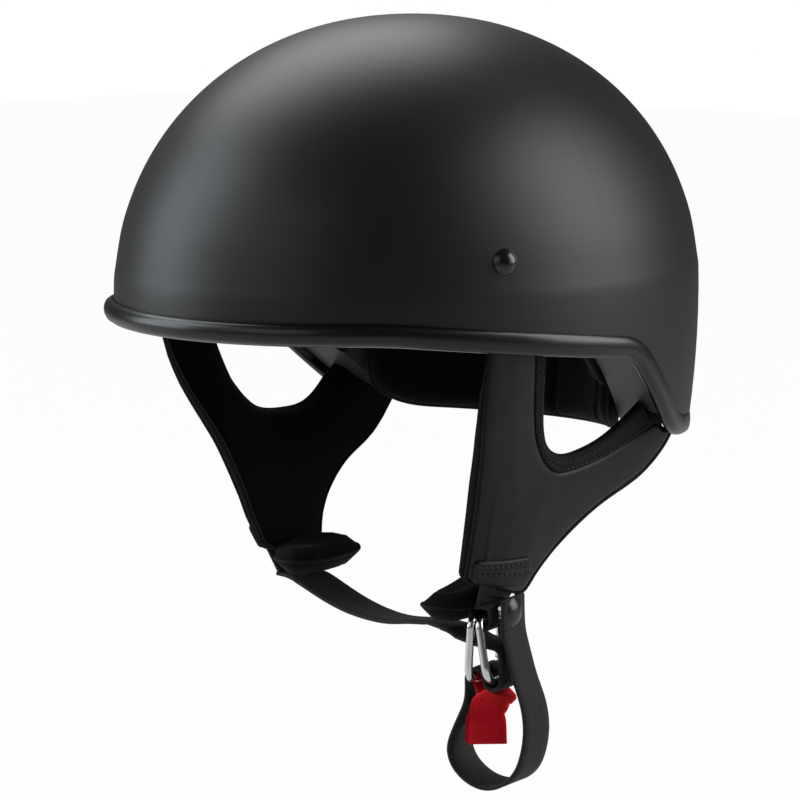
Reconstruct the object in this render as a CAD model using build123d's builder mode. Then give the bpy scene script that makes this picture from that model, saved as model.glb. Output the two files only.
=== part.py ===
from build123d import *
import math
import os

# Half shell helmet with padded ear flaps, a double ring chin strap and a snapped strap tail.
# Millimetres, +Z up, the brow faces -Y and the wearer's left ear is at +X.
# The origin is the middle of the head opening.

# Shell
shell_half_width = 115.0
shell_front = 140.0
shell_rear = 143.0
shell_wall = 3.0
crown_rise = 122.0
waist_level = 18.0
dome_power = 2.1
skirt_drop = 76.0
skirt_draw = 6.0
fit_gap = 0.3

# Rim line, seen from the side
brow_level = 11.2
brow_run = 100.0
ear_start = 18.6
ear_start_level = -1.6
ear_end = 62.2
ear_end_level = -41.2
nape_level = -50.5
brow_bend = 160.0
ear_bend = 30.0
nape_bend = 35.0

# Rubber edge trim
trim_height = 8.0
trim_proud = 1.8
trim_lip = 1.4
trim_foot = 1.5

# Impact liner
liner_side = 24.7
liner_end = 30.0
liner_crown = 25.0
liner_rise = 2.5

# Comfort pads
pad_thickness = 8.0
hook_gap = 1.0
pad_split = 50.0
pad_seam = 4.0
band_top = 46.0
nape_top = 22.0
crown_pad_level = 62.0
crown_pad_radius = 58.0
crown_pad_notch = 26.0
crown_pad_notch_at = 62.0
pad_hang = 1.0
nape_hang = 4.0
hook_dot_radius = 11.0
side_dot_level = 28.0
nape_dot_level = -14.0

# Rivets and their washers
rivet_head_radius = 5.6
rivet_head_height = 3.0
rivet_shank_radius = 2.3
rivet_tail_radius = 3.8
rivet_tail_height = 1.2
washer_radius = 7.0
washer_thickness = 1.0
shank_clearance = 0.1
side_rivet_bearing = -22.85
side_rivet_level = 43.4
rear_rivet_bearing = 63.0
rear_rivet_level = 15.0

# Retention webbing
webbing_width = 20.0
webbing_thickness = 1.8
webbing_end = 9.0
webbing_clear = 1.2
knee_lap = 0.7
channel_clearance = 0.4
channel_depth = 34.0
pocket_depth = 8.0

# Ear flap, drawn on a plane that leans outward from the jaw to the rim
flap_lean = 20.0
flap_half_span = 57.0
flap_foot_level = -116.0
flap_width = 132.0
flap_height = 126.0
flap_mid = 60.0
flap_crown = 6.5
flap_back = 3.2
flap_bend = 514.0
flap_gap = 1.2
strap_gap = 0.4
panel_thickness = 1.2
lining_thickness = 1.2
gusset_thickness = 1.2
flap_corner = 5.0
front_edge_shares = [(-0.432, 1.03), (-0.400, 0.80), (-0.345, 0.61), (-0.295, 0.43), (-0.235, 0.15)]
rear_edge_shares = [
    (0.030, 0.075), (0.070, 0.19), (0.160, 0.31), (0.303, 0.42), (0.455, 0.505), (0.620, 0.640),
]
hole_edge_shares = [
    (-0.203, 1.045), (-0.167, 0.857), (-0.129, 0.730), (-0.068, 0.643), (0.015, 0.611),
    (0.091, 0.617), (0.189, 0.647), (0.303, 0.722), (0.440, 0.850),
]
panel_edge_shares = [
    (-0.250, 1.045), (-0.217, 0.913), (-0.154, 0.714), (-0.085, 0.615), (0.0, 0.557),
    (0.100, 0.557), (0.200, 0.578), (0.320, 0.622), (0.440, 0.685), (0.600, 0.810),
]

# Flap hinges at the rim: along the helmet and up the flap
front_hinge_along = -42.0
front_hinge_up = 127.6
rear_hinge_along = 60.0
rear_hinge_up = 82.7

# Sewn patch at the foot of the flap
patch_thickness = 1.0
patch_corner = 2.0
patch_shares = [(-0.260, 0.230), (-0.228, 0.135), (-0.010, 0.112), (0.018, 0.150), (-0.024, 0.228)]

# Padded tongue at the foot of the flap
tongue_reach = 20.0
tongue_seat = 1.6
tongue_width = 36.0
tongue_thickness = 8.0
tongue_top = -102.2
tongue_round = 3.0
tongue_middle = -11.0

# Forked webbing inside the flap
foot_along = -12.0
foot_up = 7.0
fork_along = 20.0
fork_up = 60.0
fork_bend = 40.0
fork_past = 12.0

# Buckle, drawn on an upright plane turned a little off the chin strap
buckle_turn = 14.0
buckle_x = 58.0
buckle_y = -12.0
bar_level = -116.5
wire_radius = 1.75
ring_half_width = 14.0
ring_depth = 27.0
ring_corner = 3.0
ring_bow = 7.0
bar_gap = 0.2
eye_clearance = 0.3
eye_middle = 0.9
eye_top = -111.1
eye_top_round = 2.0
outer_ring_swing = 9.0
inner_ring_swing = -3.0

# Snap
snap_level = -113.6
stud_base_radius = 3.4
stud_base_height = 0.6
stud_post_radius = 2.1
stud_height = 2.4
socket_radius = 5.6
socket_bore = 3.2
socket_height = 3.4
cap_radius = 6.6
cap_height = 2.3
cap_shank_radius = 1.6
cap_shank_length = 2.2

# Chin strap from the right flap through the rings
strap_wrap = 3.9
strap_drape = 4.9
strap_drop_end = 1.0
strap_turn_in = 4.0
strap_entry = 14.5
strap_entry_level = -124.6
strap_pass_level = -128.3
strap_out_level = -129.0
strap_foot_gap = 0.9
strap_sag = 15.6
strap_sag_shares = [(0.040, 0.36), (0.455, 1.0), (0.840, 0.665)]
strap_sag_bends = [6.0, 120.0, 60.0]
strap_pass_bend = 20.0

# Strap tail, hanging in a loop from the rings and back up to the snap
tail_stand_off = 11.9
tail_top = -107.0
tail_gap = 0.3
tail_loop_width = 40.0
tail_loop_drop = 47.2
tail_rise = 19.5
tail_shares = [
    (-0.004, 0.124), (-0.198, 0.534), (-0.105, 0.864), (0.258, 0.988), (0.683, 0.814), (0.815, 0.384),
]
tail_bends = [14.0, 16.0, 12.0, 16.0, 16.0, 30.0, 40.0]

# Pull tab
tab_ply = 0.8
tab_bore = 2.1
tab_neck = 10.0
tab_width = 17.6
tab_length = 29.5
tab_neck_length = 5.5

# Overrun of the cutters, and the counts of spans in the dome's profile and in a flap edge
overrun = 20.0
dome_spans = 14
inset_steps = 12

up = Vector(0, 0, 1)
sides = ("left", "right")
room = 2 * (shell_rear + overrun)
flap_plane = Plane(
    origin=(flap_half_span, 0, flap_foot_level),
    x_dir=(0, 1, 0),
    z_dir=Vector(1, 0, 0).rotate(Axis.Y, flap_lean),
)
buckle_out = Vector(1, 0, 0).rotate(Axis.Z, buckle_turn)
buckle_along = Vector(0, 1, 0).rotate(Axis.Z, buckle_turn)
buckle_plane = Plane(origin=(buckle_x, buckle_y, 0), x_dir=buckle_out, z_dir=-buckle_along)

os.makedirs("parts", exist_ok=True)


def dome(half_width, front, rear, rise):
    """Solid dome: a bulging crown over the waist, and a skirt that draws in below it."""
    skirt_level = waist_level - skirt_drop
    turns = [math.radians(90 * span / dome_spans) for span in range(dome_spans + 1)]
    crown_points = [
        (
            half_width * math.sin(turn) ** (2 / dome_power),
            waist_level + rise * max(math.cos(turn), 0) ** (2 / dome_power),
        )
        for turn in turns
    ]
    halves = []
    for reach, turn in ((rear, 180), (front, -180)):
        with BuildPart() as half:
            with BuildSketch(Plane.XZ):
                with BuildLine():
                    crown = Spline(*crown_points, tangents=((1, 0), (0, -1)))
                    skirt = Bezier(
                        crown @ 1,
                        (half_width, waist_level - skirt_drop / 2),
                        (half_width - skirt_draw, skirt_level),
                    )
                    Polyline(skirt @ 1, (0, skirt_level), crown @ 0)
                make_face()
            revolve(axis=Axis.Z, revolution_arc=turn)
            scale(by=(1, reach / half_width, 1))
        halves.append(half.part)
    return halves[0] + halves[1]


def shell_dome(inset):
    """The shell's outer form, drawn in by inset."""
    return dome(shell_half_width - inset, shell_front - inset, shell_rear - inset, crown_rise - inset)


def cavity_dome(inset):
    """The liner's inner form, drawn in by inset."""
    return dome(
        shell_half_width - shell_wall - liner_side - inset,
        shell_front - shell_wall - liner_end - inset,
        shell_rear - shell_wall - liner_end - inset,
        crown_rise - shell_wall - liner_crown - inset,
    )


def rim_block(rise):
    """All that lies above the rim line, with the line moved up by rise."""
    far_front = -shell_front - 2 * overrun
    far_rear = shell_rear + 2 * overrun
    roof = waist_level + crown_rise + overrun
    rim_points = [
        (far_front, brow_level),
        (-brow_run, brow_level),
        (ear_start, ear_start_level),
        (ear_end, ear_end_level),
        (far_rear, nape_level),
    ]
    with BuildPart() as block:
        with BuildSketch(Plane.YZ):
            with BuildLine():
                rim = FilletPolyline(*rim_points, radius=[brow_bend, ear_bend, nape_bend])
                Polyline(rim @ 1, (far_rear, roof), (far_front, roof), rim @ 0)
            make_face()
            if rise:
                offset(amount=-rise)
        extrude(amount=shell_half_width + overrun, both=True)
    return block.part


def shell_spot(bearing, level):
    """Plane that touches the shell at a bearing and a level, with Z outward."""
    lift = max(level - waist_level, 0) / crown_rise
    share = (1 - lift**dome_power) ** (1 / dome_power)
    turn = math.radians(bearing)
    reach = shell_rear if bearing > 0 else shell_front
    point = Vector(shell_half_width * share * math.cos(turn), reach * share * math.sin(turn), level)
    slope = (lift / share) ** (dome_power - 1) / crown_rise
    outward = Vector(math.cos(turn) / shell_half_width, math.sin(turn) / reach, slope)
    return Plane(origin=point, z_dir=outward.normalized())


def on_side(shape, side):
    """The left piece as it is, or mirrored for the right."""
    return shape if side == "left" else mirror(shape, about=Plane.YZ)


def strap_section(point, outward, run, width, inner, outer):
    """A rectangle square to the run, from inner to outer along the outward side."""
    across = outward.cross(run).normalized()
    with BuildSketch(Plane(origin=point, x_dir=across, z_dir=run)) as section:
        with Locations((0, (inner + outer) / 2)):
            Rectangle(width, outer - inner)
    return section.sketch


def strap_knee(foot, spot):
    """Where a strap bends to lie flat under its rivet: across, up its end, and the knee itself."""
    anchor = spot.origin - spot.z_dir * strap_depth
    across = spot.z_dir.cross(anchor - foot).normalized()
    rise = across.cross(spot.z_dir)
    return across, rise, anchor - rise * webbing_end


def strap_pull(foot, spot, grow, depth):
    """Webbing pulled straight from the flap to its knee, turning as it goes."""
    knee = strap_knee(foot, spot)[2]
    run = (knee - foot).normalized()
    half = webbing_thickness / 2
    width = webbing_width + 2 * grow
    low = foot - run * trim_height
    with BuildPart() as pull:
        add(strap_section(low, flap_plane.z_dir, run, width, -half - grow, half + depth))
        add(strap_section(knee, spot.z_dir, run, width, -half - grow, half + depth))
        loft()
    return pull.part


def strap_flat(foot, spot, grow, depth):
    """The flat end of the webbing, from its knee to past the rivet."""
    across, rise, knee = strap_knee(foot, spot)
    back = spot.z_dir * (webbing_thickness / 2 + grow)
    with BuildPart() as flat:
        with BuildSketch(Plane(origin=knee - rise * knee_lap - back, x_dir=-across, z_dir=spot.z_dir)):
            Rectangle(
                webbing_width + 2 * grow,
                2 * webbing_end + knee_lap + grow,
                align=(Align.CENTER, Align.MIN),
            )
        extrude(amount=webbing_thickness + grow + depth)
    return flat.part


def flap_face(height):
    """How far the flap's outer face stands off the flap plane at a height."""
    return flap_crown - (height - flap_mid) ** 2 / (2 * flap_bend)


def webbing_spot(along, height):
    """A place in the middle of the webbing that lies under the left flap's outer panel."""
    under = panel_thickness + webbing_thickness / 2
    return flap_plane.from_local_coords(Vector(along, height, flap_face(height) - under))


def edge_points(shares):
    """Places on the flap from shares of its width and height."""
    return [(flap_width * along, flap_height * height) for along, height in shares]


def inset_spline(shares, inset):
    """A flap edge through its shares, moved to its left by inset."""
    with BuildLine(mode=Mode.PRIVATE) as edge:
        Spline(*edge_points(shares))
    points = []
    for step in range(inset_steps + 1):
        along = step / inset_steps
        sideways = (edge.line % along).rotate(Axis.Z, 90)
        points.append(edge.line @ along + sideways * inset)
    return points


def flap_outline(inner_shares, inset):
    """Flap seen square on: the jaw edge, the foot, the rear edge and the edge round the ear hole."""
    front_points = inset_spline(front_edge_shares, inset)
    rear_points = inset_spline(rear_edge_shares, inset)
    inner_points = inset_spline(inner_shares, -inset)
    front_points[-1] += Vector(0, inset)
    rear_points[0] += Vector(0, inset)
    with BuildSketch() as outline:
        with BuildLine():
            front = Spline(*front_points)
            rear = Spline(*rear_points)
            inner = Spline(*inner_points)
            Line(front @ 1, rear @ 0)
            Line(rear @ 1, inner @ 1)
            Line(inner @ 0, front @ 0)
        make_face()
        fillet(outline.vertices().sort_by(Axis.Y)[:2], radius=flap_corner - inset)
    return outline.sketch


def bent_sheet(outline, low, high):
    """An outline cut from the bent sheet between two depths under the flap's outer face."""
    centre = flap_plane.from_local_coords(Vector(0, flap_mid, flap_crown - flap_bend))
    with BuildPart() as sheet:
        with BuildSketch(flap_plane):
            add(outline)
        extrude(amount=flap_width, both=True)
        with Locations(Location(centre, (90, 0, 0))):
            Cylinder(flap_bend - low, room, mode=Mode.INTERSECT)
            Cylinder(flap_bend - high, room, mode=Mode.SUBTRACT)
        add(flap_ceiling, mode=Mode.SUBTRACT)
    return sheet.part


def flap_fill(outline, under, back):
    """An outline filled from under the bent outer face down to a depth behind the flap plane."""
    centre = flap_plane.from_local_coords(Vector(0, flap_mid, flap_crown - flap_bend))
    with BuildPart() as fill:
        with BuildSketch(flap_plane.offset(-back)):
            add(outline)
        extrude(amount=flap_width)
        with Locations(Location(centre, (90, 0, 0))):
            Cylinder(flap_bend - under, room, mode=Mode.INTERSECT)
        add(flap_ceiling, mode=Mode.SUBTRACT)
    return fill.part


def ribbon(plane, points, bends, width):
    """Flat webbing that follows a route drawn on a plane, with its width square to it."""
    with BuildPart() as band:
        with BuildSketch(plane):
            with BuildLine():
                FilletPolyline(*points, radius=bends)
                offset(amount=webbing_thickness / 2)
            make_face()
        extrude(amount=width / 2, both=True)
    return band.part


def ring_bar(side_sign):
    """Where a ring's bar lies on the buckle plane: outer for +1, inner for -1."""
    return eye_middle + side_sign * (wire_radius + bar_gap / 2)


def ring_bow_spot(side_sign, swing):
    """Where the middle of a ring's bow lies on the buckle plane."""
    turn = math.radians(swing)
    return (ring_bar(side_sign) + ring_depth * math.sin(turn), bar_level - ring_depth * math.cos(turn))


flap_ceiling = rim_block(-flap_gap)
strap_floor = rim_block(-strap_gap)
cavity = cavity_dome(0)
pad_outer = cavity_dome(hook_gap)
pad_inner = cavity_dome(hook_gap + pad_thickness)
strap_depth = shell_wall + webbing_clear + webbing_thickness / 2
shank_hole = rivet_shank_radius + shank_clearance

# The webbing's four pulls, each from a place at the top of the flap to a rivet
pulls = {
    "front": (webbing_spot(front_hinge_along, front_hinge_up), shell_spot(side_rivet_bearing, side_rivet_level)),
    "rear": (webbing_spot(rear_hinge_along, rear_hinge_up), shell_spot(rear_rivet_bearing, rear_rivet_level)),
}
for place, (foot, spot) in pulls.items():
    with BuildPart() as strap:
        add(strap_pull(foot, spot, 0, 0))
        add(strap_flat(foot, spot, 0, 0))
        add(strap_floor, mode=Mode.INTERSECT)
        with Locations(spot):
            Cylinder(shank_hole, 2 * pocket_depth, mode=Mode.SUBTRACT)
    for side in sides:
        with BuildPart() as placed_strap:
            add(on_side(strap.part, side))
        placed_strap.part.label = f"{place}_strap_{side}"
        export_step(placed_strap.part, f"parts/{place}_strap_{side}.step")

# Outer shell
with BuildPart() as shank_holes:
    for foot, spot in pulls.values():
        with Locations(spot):
            Cylinder(shank_hole, 2 * pocket_depth)
    mirror(about=Plane.YZ)
with BuildPart() as outer_shell:
    add(shell_dome(0))
    add(shell_dome(shell_wall), mode=Mode.SUBTRACT)
    add(rim_block(trim_foot), mode=Mode.INTERSECT)
    add(shank_holes.part, mode=Mode.SUBTRACT)
outer_shell.part.label = "outer_shell"
export_step(outer_shell.part, "parts/outer_shell.step")

# Rubber trim clipped over the shell's edge
with BuildPart() as edge_trim:
    add(shell_dome(-trim_proud))
    add(shell_dome(shell_wall + trim_lip), mode=Mode.SUBTRACT)
    add(rim_block(0), mode=Mode.INTERSECT)
    add(rim_block(trim_height), mode=Mode.SUBTRACT)
    add(outer_shell.part, mode=Mode.SUBTRACT)
edge_trim.part.label = "edge_trim"
export_step(edge_trim.part, "parts/edge_trim.step")

# Impact liner, relieved for the trim, the webbing and the rivets' inner ends
with BuildPart() as trim_relief:
    add(shell_dome(0))
    add(shell_dome(shell_wall + trim_lip + fit_gap), mode=Mode.SUBTRACT)
    add(rim_block(trim_height + fit_gap), mode=Mode.SUBTRACT)
liner_cuts = []
for foot, spot in pulls.values():
    with BuildPart() as washer_pocket:
        with Locations(spot):
            Cylinder(washer_radius + channel_clearance, 2 * (shell_wall + pocket_depth))
    liner_cuts += [
        strap_pull(foot, spot, channel_clearance, channel_depth),
        strap_flat(foot, spot, 2 * channel_clearance, channel_depth),
        washer_pocket.part,
    ]
with BuildPart() as impact_liner:
    add(shell_dome(shell_wall + fit_gap))
    add(cavity, mode=Mode.SUBTRACT)
    add(rim_block(liner_rise), mode=Mode.INTERSECT)
    add(trim_relief.part, mode=Mode.SUBTRACT)
    for cut in liner_cuts:
        for side in sides:
            add(on_side(cut, side), mode=Mode.SUBTRACT)
impact_liner.part.label = "impact_liner"
export_step(impact_liner.part, "parts/impact_liner.step")

# Comfort pads, one cut from the padded layer for each place in the cavity
pad_rim = rim_block(-pad_hang)
with BuildPart() as brow_pad:
    add(pad_outer)
    add(pad_inner, mode=Mode.SUBTRACT)
    add(pad_rim, mode=Mode.INTERSECT)
    with Locations((0, -pad_split, band_top)):
        Box(room, room, room, align=(Align.CENTER, Align.MAX, Align.MAX), mode=Mode.INTERSECT)
brow_pad.part.label = "brow_pad"
export_step(brow_pad.part, "parts/brow_pad.step")

with BuildPart() as neck_pad:
    add(pad_outer)
    add(pad_inner, mode=Mode.SUBTRACT)
    add(rim_block(-nape_hang), mode=Mode.INTERSECT)
    with Locations((0, pad_split, nape_top)):
        Box(room, room, room, align=(Align.CENTER, Align.MIN, Align.MAX), mode=Mode.INTERSECT)
neck_pad.part.label = "neck_pad"
export_step(neck_pad.part, "parts/neck_pad.step")

with BuildPart() as side_pad:
    add(pad_outer)
    add(pad_inner, mode=Mode.SUBTRACT)
    add(pad_rim, mode=Mode.INTERSECT)
    with Locations((0, 0, band_top)):
        Box(
            room,
            2 * (pad_split - pad_seam),
            room,
            align=(Align.MIN, Align.CENTER, Align.MAX),
            mode=Mode.INTERSECT,
        )
for side in sides:
    with BuildPart() as placed_pad:
        add(on_side(side_pad.part, side))
    placed_pad.part.label = f"side_pad_{side}"
    export_step(placed_pad.part, f"parts/side_pad_{side}.step")

with BuildPart() as crown_pad:
    add(pad_outer)
    add(pad_inner, mode=Mode.SUBTRACT)
    with BuildSketch(Plane.XY.offset(crown_pad_level)):
        Circle(crown_pad_radius)
        with PolarLocations(crown_pad_notch_at, 4, start_angle=45):
            Circle(crown_pad_notch, mode=Mode.SUBTRACT)
    extrude(amount=crown_rise, mode=Mode.INTERSECT)
crown_pad.part.label = "crown_pad"
export_step(crown_pad.part, "parts/crown_pad.step")

# Hook and loop dots between the pads and the liner
with BuildPart() as dot_rods:
    with Locations((0, 0, waist_level)):
        Cylinder(hook_dot_radius, room, align=(Align.CENTER, Align.CENTER, Align.MIN))
    with Locations((0, 0, side_dot_level)):
        Cylinder(hook_dot_radius, room, rotation=(0, 90, 0))
    for level, turn in ((side_dot_level, 90), (nape_dot_level, -90)):
        with Locations(Location((0, 0, level), (turn, 0, 0))):
            Cylinder(hook_dot_radius, room, align=(Align.CENTER, Align.CENTER, Align.MIN))
with BuildPart() as hook_dots:
    add(cavity)
    add(pad_outer, mode=Mode.SUBTRACT)
    add(dot_rods.part, mode=Mode.INTERSECT)
hook_dots.part.label = "hook_dots"
export_step(hook_dots.part, "parts/hook_dots.step")

# Rivets through the shell, the webbing and a washer
washer_depth = strap_depth + webbing_thickness / 2 + shank_clearance
rivet_grip = washer_depth + washer_thickness + shank_clearance
for place, (foot, spot) in pulls.items():
    across = up.cross(spot.z_dir).normalized()
    with BuildPart() as rivets:
        with BuildSketch(Plane(origin=spot.origin, x_dir=across, z_dir=across.cross(spot.z_dir))):
            with BuildLine():
                body = Polyline(
                    (0, -rivet_grip - rivet_tail_height),
                    (rivet_tail_radius, -rivet_grip - rivet_tail_height),
                    (rivet_tail_radius, -rivet_grip),
                    (rivet_shank_radius, -rivet_grip),
                    (rivet_shank_radius, 0),
                    (rivet_head_radius, 0),
                )
                TangentArc((0, rivet_head_height), body @ 1, tangent=(1, 0))
                Line((0, rivet_head_height), body @ 0)
            make_face()
        revolve(axis=Axis(spot.origin, spot.z_dir))
        mirror(about=Plane.YZ)
    rivets.part.label = f"{place}_rivets"
    export_step(rivets.part, f"parts/{place}_rivets.step")

    with BuildPart() as washers:
        with BuildSketch(spot.offset(-washer_depth)):
            Circle(washer_radius)
            Circle(shank_hole, mode=Mode.SUBTRACT)
        extrude(amount=-washer_thickness)
        mirror(about=Plane.YZ)
    washers.part.label = f"{place}_washers"
    export_step(washers.part, f"parts/{place}_washers.step")

# Ear flap: a bent outer panel, the bound ear hole, side walls, foam, lining and forked webbing
flap_shape = flap_outline(hole_edge_shares, 0)
foam_shape = flap_outline(hole_edge_shares, gusset_thickness)
panel_shape = flap_outline(panel_edge_shares, 0)
lining_front = flap_back - lining_thickness
webbing_top = front_hinge_up + fork_past
with BuildSketch() as fork_shape:
    with BuildLine():
        Line((front_hinge_along, webbing_top), (foot_along, foot_up - fork_past))
    trace(line_width=webbing_width)
    with BuildLine():
        FilletPolyline(
            (rear_hinge_along + fork_past, rear_hinge_up + fork_past / 2),
            (fork_along, fork_up),
            (foot_along, foot_up + fork_past),
            radius=fork_bend,
        )
    trace(line_width=webbing_width)
    with Locations((0, foot_up)):
        Rectangle(2 * flap_width, 2 * flap_height, align=(Align.CENTER, Align.MIN), mode=Mode.INTERSECT)
with BuildPart() as flap_webbing:
    add(bent_sheet(fork_shape.sketch, panel_thickness, panel_thickness + webbing_thickness))
with BuildPart() as flap_panel:
    add(bent_sheet(panel_shape & flap_shape, 0, panel_thickness))
with BuildPart() as flap_binding:
    add(bent_sheet(flap_shape - panel_shape, 0, panel_thickness))
with BuildPart() as flap_gusset:
    add(flap_fill(flap_shape - foam_shape, panel_thickness, lining_front))
    add(flap_webbing.part, mode=Mode.SUBTRACT)
with BuildPart() as flap_foam:
    add(flap_fill(foam_shape, panel_thickness, lining_front))
    add(flap_webbing.part, mode=Mode.SUBTRACT)
with BuildPart() as flap_tongue:
    with Locations((flap_half_span - tongue_reach, tongue_middle, tongue_top)):
        Box(
            tongue_reach + tongue_seat,
            tongue_width,
            tongue_thickness,
            align=(Align.MIN, Align.CENTER, Align.MAX),
        )
    fillet(flap_tongue.edges().group_by(Axis.X)[0], radius=tongue_round)
with BuildPart() as flap_lining:
    with BuildSketch(flap_plane.offset(-flap_back)):
        add(flap_shape)
    extrude(amount=lining_thickness)
    add(flap_ceiling, mode=Mode.SUBTRACT)
    add(flap_tongue.part)
with BuildSketch() as patch_shape:
    with BuildLine():
        Polyline(*edge_points(patch_shares), close=True)
    make_face()
    fillet(patch_shape.vertices(), radius=patch_corner)
with BuildPart() as flap_patch:
    add(bent_sheet(patch_shape.sketch, -patch_thickness, 0))

flap_pieces = {
    "flap_panel": flap_panel,
    "flap_binding": flap_binding,
    "flap_gusset": flap_gusset,
    "flap_foam": flap_foam,
    "flap_lining": flap_lining,
    "flap_patch": flap_patch,
    "flap_webbing": flap_webbing,
}
for piece, builder in flap_pieces.items():
    for side in sides:
        with BuildPart() as placed_piece:
            add(on_side(builder.part, side))
        placed_piece.part.label = f"{piece}_{side}"
        export_step(placed_piece.part, f"parts/{piece}_{side}.step")

# Webbing eye under the left flap that holds the two rings' bars
eye_radius = 2 * wire_radius + bar_gap / 2 + eye_clearance
eye_outer = eye_radius + webbing_thickness
eye_height = eye_top - bar_level
with BuildPart() as ring_eye:
    with BuildSketch(buckle_plane) as eye_shape:
        with Locations((eye_middle, bar_level)):
            Circle(eye_outer)
            Rectangle(2 * eye_outer, eye_height, align=(Align.CENTER, Align.MIN))
        fillet(eye_shape.vertices().sort_by(Axis.Y)[-2:], radius=eye_top_round)
        with Locations((eye_middle, bar_level)):
            Circle(eye_radius, mode=Mode.SUBTRACT)
            Rectangle(
                2 * eye_radius,
                eye_height - webbing_thickness,
                align=(Align.CENTER, Align.MIN),
                mode=Mode.SUBTRACT,
            )
    extrude(amount=webbing_width / 2, both=True)
ring_eye.part.label = "ring_eye"
export_step(ring_eye.part, "parts/ring_eye.step")

# The two D rings
for name, side_sign, swing in (("outer_ring", 1, outer_ring_swing), ("inner_ring", -1, inner_ring_swing)):
    bar_middle = buckle_plane.from_local_coords(Vector(ring_bar(side_sign), bar_level, 0))
    ring_plane = Plane(
        origin=bar_middle,
        x_dir=buckle_along,
        z_dir=buckle_out.rotate(Axis((0, 0, 0), buckle_along), -swing),
    )
    with BuildPart() as ring:
        with BuildLine(ring_plane) as ring_line:
            FilletPolyline(
                (-ring_half_width, 0),
                (ring_half_width, 0),
                (ring_half_width, -ring_depth),
                (-ring_half_width, -ring_depth),
                radius=[ring_corner, ring_corner, ring_bow, ring_bow],
                close=True,
            )
        with BuildSketch(Plane(origin=ring_line.line @ 0, z_dir=ring_line.line % 0)):
            Circle(wire_radius)
        sweep()
    ring.part.label = name
    export_step(ring.part, f"parts/{name}.step")

# Snap: the stud on the eye, the socket and the cap on the strap's tail
snap_axis = buckle_plane.from_local_coords(Vector(eye_middle + eye_outer, snap_level, 0))
snap_plane = Plane(origin=snap_axis, z_dir=buckle_out)
tail_inner = tail_stand_off - webbing_thickness / 2
tail_plane = snap_plane.offset(tail_inner - eye_middle - eye_outer)
cap_plane = tail_plane.offset(webbing_thickness)
with BuildPart() as snap_stud:
    with BuildSketch(snap_plane):
        Circle(stud_base_radius)
    extrude(amount=stud_base_height)
    with BuildSketch(snap_plane):
        Circle(stud_post_radius)
    extrude(amount=stud_height)
    fillet(snap_stud.edges().sort_by(Axis(snap_axis, buckle_out))[-1], radius=stud_base_height)
snap_stud.part.label = "snap_stud"
export_step(snap_stud.part, "parts/snap_stud.step")

with BuildPart() as snap_socket:
    with BuildSketch(tail_plane):
        Circle(socket_radius)
        Circle(socket_bore, mode=Mode.SUBTRACT)
    extrude(amount=-socket_height)
snap_socket.part.label = "snap_socket"
export_step(snap_socket.part, "parts/snap_socket.step")

with BuildPart() as snap_cap:
    with BuildSketch(Plane(origin=cap_plane.origin, x_dir=up, z_dir=up.cross(buckle_out))):
        with BuildLine():
            rim = Polyline(
                (0, -cap_shank_length),
                (cap_shank_radius, -cap_shank_length),
                (cap_shank_radius, 0),
                (cap_radius, 0),
            )
            TangentArc((0, cap_height), rim @ 1, tangent=(1, 0))
            Line((0, cap_height), rim @ 0)
        make_face()
    revolve(axis=Axis(cap_plane.origin, buckle_out))
snap_cap.part.label = "snap_cap"
export_step(snap_cap.part, "parts/snap_cap.step")

# Chin strap: it sags from the right flap, passes out through both rings, folds round the outer
# ring's bow, and comes back between the rings over the inner one's bow
outer_bow = ring_bow_spot(1, outer_ring_swing)
inner_bow = ring_bow_spot(-1, inner_ring_swing)
strap_out = outer_bow[0] + strap_wrap
strap_between = (outer_bow[0] - strap_wrap + inner_bow[0] + strap_drape) / 2
strap_under = outer_bow[1] - strap_wrap
strap_over = inner_bow[1] + strap_drape
strap_in = inner_bow[0] - strap_drape
strap_end_level = inner_bow[1] - strap_drop_end
left_foot = webbing_spot(foot_along, foot_up)
right_foot = Vector(-left_foot.X, left_foot.Y, left_foot.Z - strap_foot_gap - webbing_thickness / 2)
entry = buckle_plane.from_local_coords(Vector(-strap_entry, strap_entry_level, 0))
span = Vector(entry.X - right_foot.X, entry.Y - right_foot.Y, 0)
span_length = span.length
sag_plane = Plane(origin=right_foot, x_dir=span.normalized(), z_dir=span.cross(up).normalized())
sag_route = [(0, 0)]
sag_route += [(span_length * along, -strap_sag * drop) for along, drop in strap_sag_shares]
sag_route += [(span_length, entry.Z - right_foot.Z)]
ring_route = [
    (-strap_entry, strap_entry_level),
    (inner_bow[0], strap_pass_level),
    (strap_out, strap_out_level),
    (strap_out, strap_under),
    (strap_between, strap_under),
    (strap_between, strap_over),
    (strap_in, strap_over),
    (strap_in, strap_end_level),
]
ring_bends = [
    strap_pass_bend,
    strap_turn_in,
    strap_wrap,
    strap_wrap,
    strap_turn_in,
    strap_turn_in,
]
with BuildPart() as chin_strap:
    add(ribbon(sag_plane, sag_route, strap_sag_bends, webbing_width))
    add(ribbon(buckle_plane, ring_route, ring_bends, webbing_width))
chin_strap.part.label = "chin_strap"
export_step(chin_strap.part, "parts/chin_strap.step")

# Strap tail
tail_start = strap_end_level - webbing_thickness - tail_gap
tail_route = [(strap_in, tail_start)]
tail_route += [
    (strap_in + tail_loop_width * out, tail_start - tail_loop_drop * drop) for out, drop in tail_shares
]
tail_route += [(tail_stand_off, tail_start + tail_rise), (tail_stand_off, tail_top)]
with BuildPart() as strap_tail:
    add(ribbon(buckle_plane, tail_route, tail_bends, webbing_width))
    with Locations(cap_plane):
        Cylinder(cap_shank_radius + shank_clearance, 4 * webbing_thickness, mode=Mode.SUBTRACT)
strap_tail.part.label = "strap_tail"
export_step(strap_tail.part, "parts/strap_tail.step")

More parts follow.
